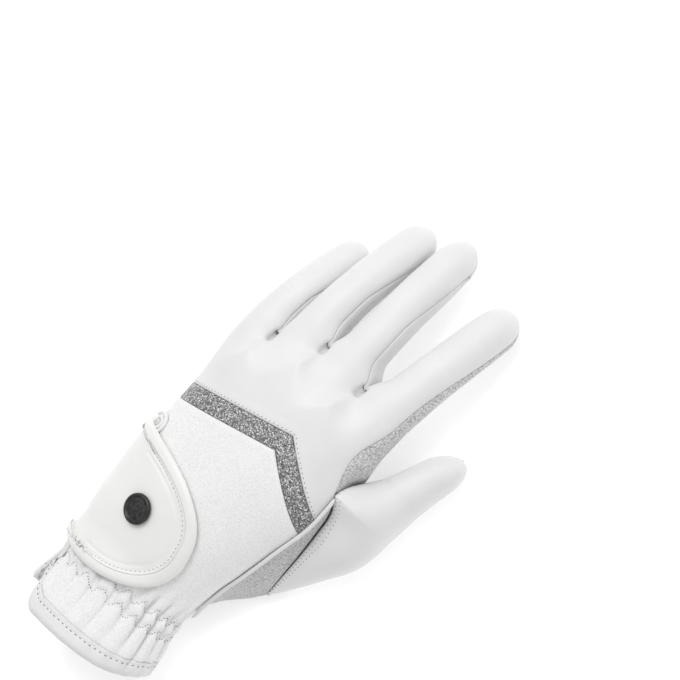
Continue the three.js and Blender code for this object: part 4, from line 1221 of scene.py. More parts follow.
@dataclass
class Stitching:
    """Rows of stitches on finished pieces: white threads with a dark spindle of painted shade between them,
    for the shadow in each needle puncture.
    """

    name: str
    slot: str
    length: float = 1.35
    gap: float = 0.75
    thread: float = 0.5
    # Size of the dark spindle between stitches, which is painted shade for the shadow in the needle puncture.
    mark: float = 0.42
    shade_mark_height: float = 0.28
    overlap: float = 0.15
    sink: float = 0.06

    def build(self, paths: Sequence[Path], carriers: Sequence[Object], finishes: Finishes) -> None:
        """Lays the stitches along the paths.

        Args:
            paths: The rows.
            carriers: The pieces that they lie on.
            finishes: The glove's finishes.
        """
        surfaces = [surface_tree(carrier) for carrier in carriers]
        threads, shade_marks = bmesh.new(), bmesh.new()
        for path in paths:
            where, ahead = even_points(path, self.length + self.gap)
            half = (self.length + self.gap) / 2
            stitch = (self.length, self.thread, self.thread)
            hole_shade = (self.gap + self.overlap, self.mark, self.shade_mark_height)
            for place, direction in zip(where, ahead):
                self.lay(threads, surfaces, place, direction, stitch)
                # The dark spindle is painted shade for the shadow in the needle puncture between two
                # stitches.
                self.lay(shade_marks, surfaces, place + direction * half, direction, hole_shade)
        for bm, suffix, material in ((threads, "thread", finishes.thread), (shade_marks, "shade_marks", finishes.mark)):
            claim(finish_mesh(bm, f"{self.name}_{suffix}", material), self.slot)

    def lay(
        self,
        bm: bmesh.types.BMesh,
        surfaces: Sequence[BVHTree],
        place: Array,
        direction: Array,
        size: tuple[float, float, float],
    ) -> None:
        """Adds one small spindle, along a direction, on the nearest surface.

        Args:
            bm: The mesh that it joins.
            surfaces: The carriers' surfaces.
            place: Where it goes.
            direction: The row's direction there.
            size: Its length, width and height.
        """
        found = [tree.find_nearest(Vector(place), 3.0) for tree in surfaces]
        found = [hit for hit in found if hit[0] is not None]
        if not found:
            return
        location, normal = min(found, key=lambda hit: hit[3])[:2]
        along = Vector(direction)
        along = (along - normal * along.dot(normal)).normalized()
        across = normal.cross(along)
        turn = Matrix((along, across, normal)).transposed().to_4x4()
        stretch = Matrix.Diagonal((size[0] / 2, size[1] / 2, size[2] / 2, 1))
        where = Matrix.Translation(location - normal * self.sink)
        bmesh.ops.create_uvsphere(bm, u_segments=6, v_segments=5, radius=1, matrix=where @ turn @ stretch)


def surface_tree(carrier: Object) -> BVHTree:
    """A finished piece's outer surface in millimetres, searchable for its nearest point."""
    bm = bmesh.new()
    bm.from_mesh(carrier.data)
    bmesh.ops.scale(bm, verts=bm.verts, vec=(1 / METRES,) * 3)
    bmesh.ops.translate(bm, verts=bm.verts, vec=-SHIFT)
    bm.normal_update()
    tree = BVHTree.FromBMesh(bm)
    bm.free()
    return tree


@dataclass
class FingerParts:
    """The upper back with the finger backs, the palm with the finger fronts, and what lies between them."""

    wall: float = 1.2
    knuckle_rows: int = 46
    tip_rows: int = 96
    columns: int = 24
    notch: tuple[float, float] = (3.2, 1.3)
    notch_run: float = 3.2
    crease: tuple[float, float] = (0.25, 0.6)
    # Finger, its row, the shares across it from and to, and how many rows the crease leans
    joint_creases: tuple[tuple[int, float, float, float, float], ...] = (
        (0, 2.2, 0.1, 0.6, 0.3),
        (0, 3.0, 0.15, 0.75, -0.2),
        (0, 3.7, 0.05, 0.5, 0.2),
        (0, 5.6, 0.2, 0.7, 0.15),
        (1, 4.4, 0.2, 0.7, 0.2),
        (1, 6.3, 0.25, 0.8, -0.15),
        (2, 4.6, 0.2, 0.75, 0.15),
        (2, 6.4, 0.2, 0.7, 0.1),
        (3, 4.2, 0.25, 0.8, -0.2),
        (3, 6.2, 0.2, 0.7, 0.15),
    )

    def knuckle(self, index: int) -> Surface:
        """A finger's part of the upper back, from the band to the forks."""

        def surface(u: Array, w: Array) -> Array:
            start = HAND.chevron_y(HAND.band_width, lambda y: HAND.cell_turn(index, y, w, Side.BACK), w)
            stop = mix(HAND.fork_level(index, Side.BACK), HAND.fork_level(index + 1, Side.BACK), w)
            return HAND.knuckle_cell(index, mix(start, stop, u), w, Side.BACK)

        return surface

    def upper_back(self) -> Shell:
        """The leather of the upper back with the four finger backs."""
        patches = []
        for index in range(len(HAND.fingers)):
            patches.append(Patch(self.knuckle(index), self.knuckle_rows, self.columns))
            patches.append(
                Patch(
                    lambda u, w, i=index: HAND.finger_cell(i, HAND.finger_rows * u, w, Side.BACK),
                    self.tip_rows,
                    self.columns,
                )
            )
        return Shell(
            "upper_back", "back_upper", "white_leather", patches, self.wall, roll=0.3, creases=self.hollows()
        )

    def hollows(self) -> list[Crease]:
        """The notch at each crotch and a few creases at the joints."""
        notches = [Crease(self.notch_line(k), *self.notch) for k in range(1, len(HAND.fingers))]
        return notches + [Crease(self.joint_line(*row), *self.crease) for row in self.joint_creases]

    def notch_line(self, k: int) -> Path:
        """The last stretch of the groove that leads to a fork."""
        level = HAND.fork_level(k, Side.BACK)
        return lambda share: HAND.valley(k, mix(level - self.notch_run, level, share), Side.BACK)

    def joint_line(self, index: int, row: float, start: float, stop: float, lean: float) -> Path:
        """A line across a finger's back, leaning towards the tip or, below zero, away."""
        return lambda share: HAND.finger_cell(
            index, row + lean * share, mix(start, stop, share), Side.BACK
        )

    def palm(self) -> Shell:
        """The leather of the palm with the four finger fronts."""
        patches = []
        for index in range(len(HAND.fingers)):
            wide = 1.0 if index < 3 else HAND.side_split
            columns = self.columns if index < 3 else 16
            last = HAND.finger_rows if index < 3 else HAND.patch_row
            cuff_seam = Cuff.seam

            def low(u: Array, v: Array, i: int = index, wide: float = wide) -> Array:
                return HAND.palm_point(i, mix(cuff_seam, HAND.thumb_fork - 1e-6, u), v * wide)

            def high(u: Array, v: Array, i: int = index, wide: float = wide) -> Array:
                w = v * wide
                stop = mix(HAND.fork_level(i, Side.PALM), HAND.fork_level(i + 1, Side.PALM), w)
                return HAND.palm_point(i, mix(HAND.thumb_fork, stop, u), w)

            def front(u: Array, v: Array, i: int = index, wide: float = wide, last: int = last) -> Array:
                return HAND.finger_cell(i, last * u, v * wide, Side.PALM)

            rows = round(self.tip_rows * last / HAND.finger_rows)
            patches += [
                Patch(low, 90, columns, True),
                Patch(high, 42, columns, True),
                Patch(front, rows, columns, True),
            ]
        return Shell("palm", "palm_panel", "white_leather", patches, self.wall)

    def tip_patch(self) -> Shell:
        """The touch patch on the front of the index tip."""

        def surface(u: Array, v: Array) -> Array:
            row = mix(HAND.patch_row, HAND.finger_rows, u)
            return HAND.finger_cell(3, row, v * HAND.side_split, Side.PALM)

        patches = [Patch(surface, 44, 16, True)]
        return Shell("tip_patch", "index_tip_patch", "white_leather", patches, self.wall)

    def side_strip(self) -> Shell:
        """The fabric strip on the index finger's thumb side."""

        def low(u: Array, v: Array) -> Array:
            w = mix(HAND.side_split, 1.0, v)
            stop = mix(HAND.fork_level(3, Side.PALM), HAND.fork_level(4, Side.PALM), w)
            return HAND.hand_side(mix(HAND.thumb_fork + 0.6, stop, u), 1 - v)

        def high(u: Array, v: Array) -> Array:
            return HAND.finger_cell(3, HAND.finger_rows * u, mix(HAND.side_split, 1.0, v), Side.PALM)

        patches = [Patch(low, 42, 12, True), Patch(high, self.tip_rows, 12, True)]
        return Shell("side_strip", "index_side_strip", "strip_fabric", patches, self.wall)

    def strip_line(self, w: float) -> Path:
        """A row of stitches along the side strip, at a share across the finger's front."""
        return lambda share: HAND.finger_cell(3, HAND.wall_rows * share, np.full_like(share, w), Side.PALM)

    def patch_line(self, row: float) -> Path:
        """A row of stitches across the index tip patch."""
        return lambda share: HAND.finger_cell(
            3, np.full_like(share, row), HAND.side_split * mix(0.06, 0.94, share), Side.PALM
        )

    def palm_line(self) -> Path:
        """A row of stitches on the palm beside its seam with the thumb's strip."""
        inset = 0.93 * HAND.side_split
        return lambda share: HAND.palm_point(
            3, mix(Cuff.seam + 2, HAND.thumb_fork, share), np.full_like(share, inset)
        )

    def fourchettes(self) -> list[Shell]:
        """The side walls between the fingers."""
        made = []
        for k, pair in enumerate(("little_ring", "ring_middle", "middle_index"), start=1):
            patches = [
                Patch(
                    lambda u, r, k=k, edge=edge: HAND.wall_point(k, edge, HAND.wall_rows * u, r),
                    72,
                    14,
                    edge == 0,
                )
                for edge in (1, 0)
            ]
            name, node = f"side_walls_{pair}", f"fourchette_{pair}"
            made.append(Shell(name, node, "white_leather", patches, self.wall, roll=0.2))
        return made


@dataclass
class ThumbParts:
    """The thumb's leather, palm strip and tip patch, and the gusset beside it."""

    wall: float = 1.2
    patch_length: float = 26
    round_rows: int = 3
    tip_rows: int = 5
    fabric: float = 1.1
    crease: tuple[float, float] = (0.3, 0.55)
    crease_lean: float = 2.0
    # Distance from the elastic line, and the share across the leather at which the crease ends
    joint_creases: tuple[tuple[float, float], ...] = (
        (99.5, 0.2), (101.5, 0.12), (112.0, 0.12), (113.8, 0.18), (115.6, 0.1),
    )

    def tip_y(self, u: Array) -> Array:
        """Distances over the thumb's tip, closer together where it rounds off."""
        start = HAND.thumb_tip - self.patch_length
        turn = mix(HAND.thumb_tip, HAND.thumb_root, HAND.thumb_round)
        straight = self.tip_rows - self.round_rows
        row = u * self.tip_rows
        late = np.sin(np.clip((row - straight) / self.round_rows, 0, 1) * math.pi / 2)
        return np.where(row <= straight, mix(start, turn, row / straight), mix(turn, HAND.thumb_tip, late))

    def body_y(self, u: Array) -> Array:
        """Distances from the thumb's fork to its tip patch."""
        return mix(HAND.thumb_fork, HAND.thumb_tip - self.patch_length, u)

    def leather(self) -> Shell:
        """The outer leather of the thumb."""
        patches = [
            Patch(lambda u, v: HAND.thumb_outer(self.root_y(u), v), 64, 44),
            Patch(lambda u, v: HAND.thumb_outer(self.body_y(u), v), 22, 44),
            Patch(lambda u, v: HAND.thumb_outer(self.tip_y(u), v), 36, 44),
        ]
        creases = [Crease(self.joint_line(y, stop), *self.crease) for y, stop in self.joint_creases]
        return Shell("thumb_back", "thumb_leather", "white_leather", patches, self.wall, creases=creases)

    def joint_line(self, y: float, stop: float) -> Path:
        """A line from the leather's seam on the hand's side, leaning towards the thumb's tip."""
        return lambda share: HAND.thumb_outer(y + self.crease_lean * share, mix(0.0, stop, share))

    @staticmethod
    def cuff_y(u: Array) -> Array:
        """Distances from the cuff's seam to the thumb's root."""
        return mix(Cuff.seam, HAND.thumb_root - 1e-6, u)

    @staticmethod
    def root_y(u: Array) -> Array:
        """Distances from the thumb's root to its fork."""
        return mix(HAND.thumb_root, HAND.thumb_fork - 1e-6, u)

    def strip(self) -> Shell:
        """The fabric strip on the palm side of the thumb."""
        patches = [
            Patch(lambda u, v: HAND.strip_point(self.cuff_y(u), v), 32, 20, True),
            Patch(lambda u, v: HAND.strip_point(self.root_y(u), v), 64, 20, True),
            Patch(lambda u, v: HAND.strip_point(self.body_y(u), v), 22, 20, True),
            Patch(lambda u, v: HAND.thumb_inner(self.body_y(u), v), 22, 16, True),
        ]
        return Shell("thumb_strip", "thumb_palm_strip", "strip_fabric", patches, self.fabric)

    def tip_patch(self) -> Shell:
        """The leather patch on the front of the thumb's tip."""
        patches = [
            Patch(lambda u, v: HAND.strip_point(self.tip_y(u), v), 36, 20, True),
            Patch(lambda u, v: HAND.thumb_inner(self.tip_y(u), v), 36, 16, True),
        ]
        return Shell("thumb_patch", "thumb_tip_patch", "white_leather", patches, self.wall)

    def back_line(self, v: float) -> Path:
        """A row of stitches on the thumb's leather beside its seam with the gusset."""
        return lambda share: HAND.thumb_outer(
            mix(HAND.thumb_root + 2, HAND.thumb_fork - 1, share), np.full_like(share, v)
        )

    def patch_line(self, away: float) -> Path:
        """A row of stitches across the tip patch, at a distance from its lower edge."""
        start = HAND.thumb_tip - self.patch_length + away
        return lambda share: HAND.strip_point(np.full_like(share, start), mix(0.05, 0.95, share))

    def strip_line(self) -> Path:
        """A row of stitches on the strip beside its seam with the outer leather."""
        return lambda share: HAND.strip_point(
            mix(Cuff.seam + 2, HAND.thumb_tip - self.patch_length - 1, share), np.full_like(share, 0.9)
        )

    def gusset(self) -> Shell:
        """The triangle of stretch fabric between the back and the thumb."""
        patches = [
            Patch(lambda u, v: HAND.gusset_point(self.cuff_y(u), v), 32, 26),
            Patch(lambda u, v: HAND.gusset_point(self.root_y(u), v), 64, 26),
        ]
        return Shell("gusset", "gusset_panel", "stretch_fabric", patches, self.fabric)


@dataclass
class Cuff:
    """The lower back, the cuff's palm side, and the bound edges of the hem and the slit."""

    seam: float = 10.0
    hem_width: float = 8.5
    hem_stitches: float = 6.3
    slit_edge: float = 2.4
    wall: float = 1.1
    binding: float = 1.9

    def clear(self) -> float:
        """Half the width of the slit with its binding."""
        return HAND.slit_width / 2 + self.slit_edge

    def slit_gap(self, y: Array) -> Array:
        """The distance of the lower back's edge from the slit's middle, closing in a round end."""
        up = np.clip((y - HAND.slit_top) / self.slit_edge, 0, 1)
        return self.clear() * np.sqrt(np.maximum(0, 1 - up**2))

    def lower_y(self, row: Array, turn_of: Path) -> Array:
        """The distance of a row of the lower back.

        Args:
            row: 0 at the hem binding, 1 at the lower elastic row, 2 at the slit's end, 3 above it and
                4 at the band.
            turn_of: The turn for a distance.

        Returns:
            The distances.
        """
        peak = HAND.slit_top + self.slit_edge
        hem = HAND.settle(
            lambda at: mix(at + self.hem_width, HAND.zigzag_low, np.clip(row, 0, 1)), turn_of, row
        )
        middle = np.interp(row, (1, 2, 3), (HAND.zigzag_low, HAND.slit_top, peak))
        band = HAND.chevron_y(0.0, turn_of, row)
        return np.where(row < 1, hem, np.where(row <= 3, middle, mix(peak, band, row - 3)))

    def corner_x(self, y: Array) -> Array:
        """The x at which the lower back's columns turn with the band's corner."""
        s = HAND.section(np.minimum(y, HAND.band_apex))
        top = HAND.section(HAND.band_apex)
        return s["centre"] + (HAND.chevron_corner(0.0) - top["centre"]) * s["half"] / top["half"]

    def lower_rows(self, u: Array) -> Array:
        """Rows of the lower back for even shares of its grid."""
        return np.interp(u, (0, 0.16, 0.76, 0.8, 1), (0, 1, 2, 3, 4))

    def lower_back(self) -> Shell:
        """The stretch fabric of the lower back and the cuff's back."""

        def little_side(u: Array, v: Array) -> Array:
            def turn_of(y: Array) -> Array:
                return mix(HAND.seam_turn("little", y), HAND.slit_side(y, -self.slit_gap(y)), v)

            y = self.lower_y(self.lower_rows(u), turn_of)
            return HAND.hand_point(y, turn_of(y))

        def broad_side(u: Array, v: Array) -> Array:
            row = self.lower_rows(u)

            def turn_of(y: Array) -> Array:
                corner = mix(self.corner_x(y), HAND.chevron_corner(0.0), np.clip(row - 3, 0, 1))
                return HAND.back_turn(y, v, HAND.slit_side(y, self.slit_gap(y)), corner)

            y = self.lower_y(row, turn_of)
            return HAND.hand_point(y, turn_of(y))

        patches = [Patch(little_side, 150, 12), Patch(broad_side, 150, 150)]
        return self.stretch_shell("lower_back", "back_lower", patches)

    def stretch_shell(self, name: str, node: str, patches: list[Patch]) -> Shell:
        """A piece of the cuff's stretch fabric, drawn in by the elastic."""
        return Shell(
            name, node, "stretch_fabric", patches, self.wall, roll=0.25, creases=self.elastic()
        )

    def elastic(self) -> list[Crease]:
        """The grooves that the two rows of elastic stitching pull into the cloth."""
        depth, width = 0.8, 0.8
        return [Crease(self.zigzag(y), depth, width) for y in (HAND.zigzag_low, HAND.zigzag_high)]

    def palm_side(self) -> Shell:
        """The stretch fabric of the cuff's palm side."""

        def surface(u: Array, v: Array) -> Array:
            def turn_of(y: Array) -> Array:
                return mix(HAND.seam_turn("thumb", y), HAND.seam_turn("little", y) + 2 * math.pi, v)

            row = np.interp(u, (0, 0.6, 1), (0, 1, 2))
            hem = HAND.settle(
                lambda at: mix(at + self.hem_width, HAND.zigzag_low, np.clip(row, 0, 1)), turn_of, row
            )
            y = np.where(row < 1, hem, mix(HAND.zigzag_low, self.seam, row - 1))
            return HAND.hand_point(y, turn_of(y))

        return self.stretch_shell("cuff_palm_side", "cuff_palm", [Patch(surface, 44, 150)])

    def hem(self) -> Shell:
        """The folded edge of the cuff."""

        def surface(u: Array, v: Array) -> Array:
            def turn_of(y: Array) -> Array:
                half = HAND.slit_width / 2
                return mix(HAND.slit_side(y, half), HAND.slit_side(y, -half) + 2 * math.pi, v)

            y = HAND.settle(lambda at: at + self.hem_width * u, turn_of, u)
            return HAND.hand_point(y, turn_of(y))

        return Shell(
            "hem",
            "hem_binding",
            "white_leather",
            [Patch(surface, 12, 300)],
            self.binding,
            roll=0.15,
            roll_width=1.0,
            lift=0.2,
            creases=[
                Crease(self.hem_line(self.hem_stitches), 0.35, 0.8),
                Crease(self.hem_line(0.0), 1.0, 1.2),
            ],
        )

    def hem_line(self, inset: float) -> Path:
        """A line round the cuff at a distance from its hem."""

        def path(share: Array) -> Array:
            def turn_of(y: Array) -> Array:
                return mix(HAND.slit_side(y, 2.0), HAND.slit_side(y, -2.0) + 2 * math.pi, share)

            y = HAND.settle(lambda at: at + inset, turn_of, share)
            return HAND.hand_point(y, turn_of(y))

        return path

    def zigzag(self, middle: float, sweep: float = 4.7) -> Path:
        """A row of elastic stitching round the cuff, in step with the gathers."""

        def path(share: Array) -> Array:
            turn = mix(self.slit_turn_at(middle, 2.6), self.slit_turn_at(middle, -2.6) + 2 * math.pi, share)
            phase = HAND.gather_phase(turn) / (2 * math.pi)
            swing = 2 * np.abs(2 * (phase % 1) - 1) - 1
            return HAND.hand_point(middle + swing * sweep / 2, turn)

        return path

    def beside_slit(self, side: int) -> Path:
        """A row of stitches on the lower back beside the slit's binding."""
        away = side * (self.clear() + 1.1)

        def path(share: Array) -> Array:
            y = mix(HAND.zigzag_low - 8, HAND.slit_top - 1, share)
            return HAND.hand_point(y, HAND.slit_side(y, np.full_like(share, away)))

        return path

    def palm_line(self, away: float) -> Path:
        """A row of stitches on the palm beside the cuff's seam."""

        def path(share: Array) -> Array:
            y = np.full_like(share, self.seam + away)
            turn = mix(HAND.seam_turn("little", y) + 0.05, HAND.palm_edge_turn(y) - 0.03, share)
            return HAND.hand_point(y, turn)

        return path

    def slit_turn_at(self, y: float, distance: float) -> float:
        """The turn at one level and distance from the slit."""
        return float(HAND.slit_side(np.array([y]), np.array([distance]))[0])

    def slit(self) -> Shell:
        """The bound edge that runs up one side of the slit, round its end and down the other."""

        def surface(u: Array, v: Array) -> Array:
            out = mix(self.clear(), HAND.slit_width / 2, v)
            run = u * 3 - 1
            angle = np.clip(run, 0, 1) * math.pi
            distance = -out * np.cos(angle)
            side = np.where(run < 0.5, -1.0, 1.0)
            leg = np.where(run < 0, -run, np.where(run > 1, run - 1, 0.0))

            def turn_of(y: Array) -> Array:
                return HAND.slit_side(y, np.where(leg > 0, side * out, distance))

            low = HAND.settle(lambda at: at + self.hem_width + 0.15, turn_of, u)
            y = np.where(leg > 0, mix(HAND.slit_top, low, leg), HAND.slit_top + out * np.sin(angle))
            return HAND.hand_point(y, turn_of(y))

        return Shell(
            "slit_edge",
            "slit_binding",
            "white_leather",
            [Patch(surface, 210, 5)],
            self.binding,
            roll=0.6,
            roll_width=1.0,
            lift=0.25,
            puff=0.0,
        )


@dataclass
class SlitEnd:
    """The two loops of cord that close the slit's upper end."""

    radii: tuple[float, float] = (2.5, 4.6)
    cord: float = 1.7
    sweep: float = 215 * RAD
    lean: float = -40 * RAD
    toward_up: float = 0.35
    lift: float = 1.5
    below: float = 2.2
    aside: float = 1.8

    def build(self, cuff: Cuff, material: Material) -> None:
        """Bends the cord round the slit's end.

        Args:
            cuff: The cuff that carries it.
            material: The cord's finish.
        """
        bm = bmesh.new()
        for radius in self.radii:
            self.add_loop(bm, radius)
        bmesh.ops.recalc_face_normals(bm, faces=bm.faces)
        y = HAND.slit_top - self.below
        turn = cuff.slit_turn_at(y, self.aside)
        middle = Vector(HAND.hand_point(y, turn, self.lift))
        ahead = (Vector(HAND.hand_point(y + 2, turn, self.lift)) - middle).normalized()
        across = (Vector(HAND.hand_point(y, turn + 0.05, self.lift)) - middle).normalized()
        normal = (across.cross(ahead).normalized() + Vector((0, 0, self.toward_up))).normalized()
        across = ahead.cross(normal).normalized()
        turned = Matrix((across, normal.cross(across), normal)).transposed().to_4x4()
        bmesh.ops.transform(bm, matrix=Matrix.Translation(middle) @ turned, verts=bm.verts)
        claim(finish_mesh(bm, "slit_end_cord", material), "white_leather")

    def add_loop(self, bm: bmesh.types.BMesh, radius: float) -> None:
        """Adds one open loop of cord, flat round the origin."""
        start = Matrix.Translation((radius, 0, 0)) @ Matrix.Rotation(math.pi / 2, 4, "X")
        made = bmesh.ops.create_circle(bm, segments=10, radius=self.cord / 2, matrix=start, cap_ends=True)
        ring = made["verts"]
        edges = list({edge for vert in ring for edge in vert.link_edges})
        faces = list({face for vert in ring for face in vert.link_faces})
        first = self.lean - (self.sweep - math.pi) / 2
        bmesh.ops.rotate(bm, verts=ring, cent=(0, 0, 0), matrix=Matrix.Rotation(first, 3, "Z"))
        bmesh.ops.spin(
            bm,
            geom=ring + edges + faces,
            cent=(0, 0, 0),
            axis=(0, 0, 1),
            angle=self.sweep,
            steps=28,
            use_merge=False,
        )


@dataclass
class GlitterBand:
    """The silver chevron across the back."""

    wall: float = 1.2

    def shell(self) -> Shell:
        """The band's leather with its glitter."""
        patches = [Patch(lambda u, v: self.at(HAND.band_width * u, v), 12, 140)]
        return Shell(
            "glitter_chevron", "glitter_band", "glitter", patches, self.wall, roll=0.15, puff=0.0
        )

    def at(self, offset: Array, v: Array) -> Array:
        """A point at an offset from the band's lower edge and a share across the back."""

        def turn_of(y: Array) -> Array:
            return HAND.back_turn(y, v, HAND.seam_turn("little", y), HAND.chevron_corner(offset))

        y = HAND.chevron_y(offset, turn_of, v)
        return HAND.hand_point(y, turn_of(y))


@dataclass
class ClosureTab:
    """The rounded tab over the back: its field, its folded rim and the snap."""

    length: float = 62
    reach: float = 58.4
    middle: float = 31
    rim_width: float = 4.8
    thickness: float = 1.3
    rim_thickness: float = 1.9
    stitch_inset: float = 6.2
    line_inset: float = 8.2
    lift: float = 1.4
    root_lift: float = 0.75
    root_turn: float = 5 * RAD
    upright: tuple[float, float] = (2.3, 2.75)
    nose: tuple[float, float] = (2.2, 2.6)
    root_narrow: float = 3.0
    belly: float = 3.8
    belly_turn: float = 20 * RAD
    over_puffs: float = 1.5
    puffs_fade: float = 14
    stand_off: float = 0.4
    even: float = 0.065
    button_diameter: float = 13.8
    button_height: float = 2.4
    button_across: float = 29.7
    button_ahead: float = 3.3

    def point(self, inset: Array, share: Array, u: Array, thick: float) -> Array:
        """A point of the tab.

        Args:
            inset: How far the outline is drawn in.
            share: The place along the outline.
            u: Share of the way from the root to the outline.
            thick: How far it stands off the tab's underside.

        Returns:
            The points.
        """
        angle = mix(-90.0, 90.0, share - self.even * np.sin(2 * math.pi * share)) * RAD
        upright = np.where(angle < 0, *self.upright)
        nose = np.where(angle < 0, *self.nose)
        y = self.middle + (self.length / 2 - inset) * signed_power(np.sin(angle), 2 / upright)
        out = np.abs(np.cos(angle)) ** (2 / nose)
        belly = self.root_narrow * (1 - out) - self.belly * np.sin(math.pi * out)
        y = y + np.where(angle < 0, belly * np.clip(-angle / self.belly_turn, 0, 1), 0)
        root_x = HAND.hand_point(y, self.root_turn, ripple=0.0)[..., 0]
        x = root_x + (self.reach - inset) * out
        turn = mix(self.root_turn, HAND.turn_at(y, x, Side.BACK), u)
        over = self.over_puffs * (1 - ease((y - HAND.zigzag_high - 1) / self.puffs_fade))
        lift = thick + over + mix(self.root_lift, self.lift, ease(u / self.stand_off))
        return HAND.hand_point(y, turn, lift, ripple=0.0)

    def edge(self, inset: float, thick: float) -> Path:
        """The tab's outline, or a line inside it, from end to end."""
        return lambda share: self.point(inset, share, np.ones_like(share), thick)

    def outline(self, inset: float, thick: float) -> Path:
        """A line inside the tab's outline that stops short of its root."""
        return lambda share: self.point(inset, mix(0.15, 0.88, share), np.ones_like(share), thick)

    def field(self) -> Shell:
        """The tab's field, with the pressed lines inside its rim."""

        def surface(u: Array, v: Array) -> Array:
            return self.point(self.rim_width, mix(0.01, 0.99, u), v, self.thickness)

        creases = [
            Crease(self.outline(self.rim_width, self.thickness), -0.65, 1.0),
            Crease(self.outline(self.stitch_inset, self.thickness), 0.4, 0.6),
            Crease(self.outline(self.line_inset, self.thickness), 0.4, 0.7),
        ]
        return Shell(
            "tab",
            "closure_tab",
            "white_leather",
            [Patch(surface, 150, 56)],
            self.thickness,
            roll=0.08,
            roll_width=0.6,
            puff=0.0,
            creases=creases,
        )

    def rim(self) -> Shell:
        """The tab's folded rim."""

        def surface(u: Array, v: Array) -> Array:
            return self.point(self.rim_width * (1 - v), u, np.ones_like(v), self.rim_thickness)

        return Shell(
            "tab_fold",
            "tab_rim",
            "white_leather",
            [Patch(surface, 200, 8)],
            self.rim_thickness,
            roll=0.1,
            roll_width=0.6,
            puff=0.0,
            lift=0.1,
            creases=[Crease(self.edge(0.0, self.rim_thickness), 1.1, 1.2)],
        )

    def snap(self, material: Material) -> None:
        """Makes the snap's cap: a plain dish inside a raised ring, square to the tab.

        Args:
            material: Its metal.
        """
        radius, height = self.button_diameter / 2, self.button_height
        profile = [
            (0, 0), (0.86, 0), (0.97, 0.18), (1, 0.45), (0.985, 0.72), (0.93, 0.92), (0.86, 1),
            (0.79, 0.9), (0.75, 0.7), (0.7, 0.64), (0.62, 0.74), (0.4, 0.84), (0, 0.9),
        ]
        bm = bmesh.new()
        verts = [bm.verts.new((across * radius, 0, up * height)) for across, up in profile]
        edges = [bm.edges.new(pair) for pair in zip(verts, verts[1:])]
        bmesh.ops.spin(
            bm,
            geom=verts + edges,
            cent=(0, 0, 0),
            axis=(0, 0, 1),
            angle=2 * math.pi,
            steps=72,
            use_merge=True,
        )
        bmesh.ops.remove_doubles(bm, verts=bm.verts, dist=0.005)
        bmesh.ops.recalc_face_normals(bm, faces=bm.faces)
        y = np.array([self.middle + self.button_ahead])
        root = HAND.hand_point(y, self.root_turn, ripple=0.0)[..., 0]
        turn = HAND.turn_at(y, root + self.button_across, Side.BACK)
        lift = self.thickness + self.lift + 0.3

        def seat(dy: float, d_turn: float) -> Vector:
            return Vector(HAND.hand_point(y + dy, turn + d_turn, lift, ripple=0.0)[0])

        normal = (seat(0, 0.04) - seat(0, -0.04)).cross(seat(2, 0) - seat(-2, 0)).normalized()
        turned = normal.to_track_quat("Z", "Y").to_matrix().to_4x4()
        bmesh.ops.transform(bm, matrix=Matrix.Translation(seat(0, 0)) @ turned, verts=bm.verts)
        claim(finish_mesh(bm, "snap_cap", material), "dark_metal", "snap_button")


@dataclass
class Piping:
    """The raised folded edge between the back and the gusset."""

    diameter: float = 1.7

    def line(self, share: Array) -> Array:
        """The piping's middle line."""
        y = mix(HAND.zigzag_high + 6.0, HAND.thumb_fork - 1.0, share)
        return HAND.hand_point(y, HAND.seam_turn("thumb", y), self.diameter / 2 + 0.3)

    def build(self, material: Material) -> None:
        """Makes the piping as a rope along its line, closed at its ends.

        Args:
            material: Its leather.
        """
        where, ahead = even_points(self.line, 0.8)
        bm = bmesh.new()
        made = bmesh.ops.create_grid(bm, x_segments=14, y_segments=len(where) - 1, size=0.5)["verts"]
        for vert in made:
            i = round((vert.co.y + 0.5) * (len(where) - 1))
            turn = (vert.co.x + 0.5) * 2 * math.pi
            side = unit(np.cross(ahead[i], (0.0, 0.0, 1.0)))
            up = np.cross(side, ahead[i])
            end = min(i, len(where) - 1 - i)
            radius = self.diameter / 2 * min(1.0, math.sqrt(max(end, 0) / 3 + 0.05))
            vert.co = where[i] + radius * (side * math.cos(turn) + up * math.sin(turn))
        bmesh.ops.remove_doubles(bm, verts=bm.verts, dist=0.01)
        bmesh.ops.holes_fill(bm, edges=[edge for edge in bm.edges if len(edge.link_faces) == 1], sides=0)
        bmesh.ops.recalc_face_normals(bm, faces=bm.faces)
        claim(finish_mesh(bm, "edge_piping", material), "white_leather", "piping")


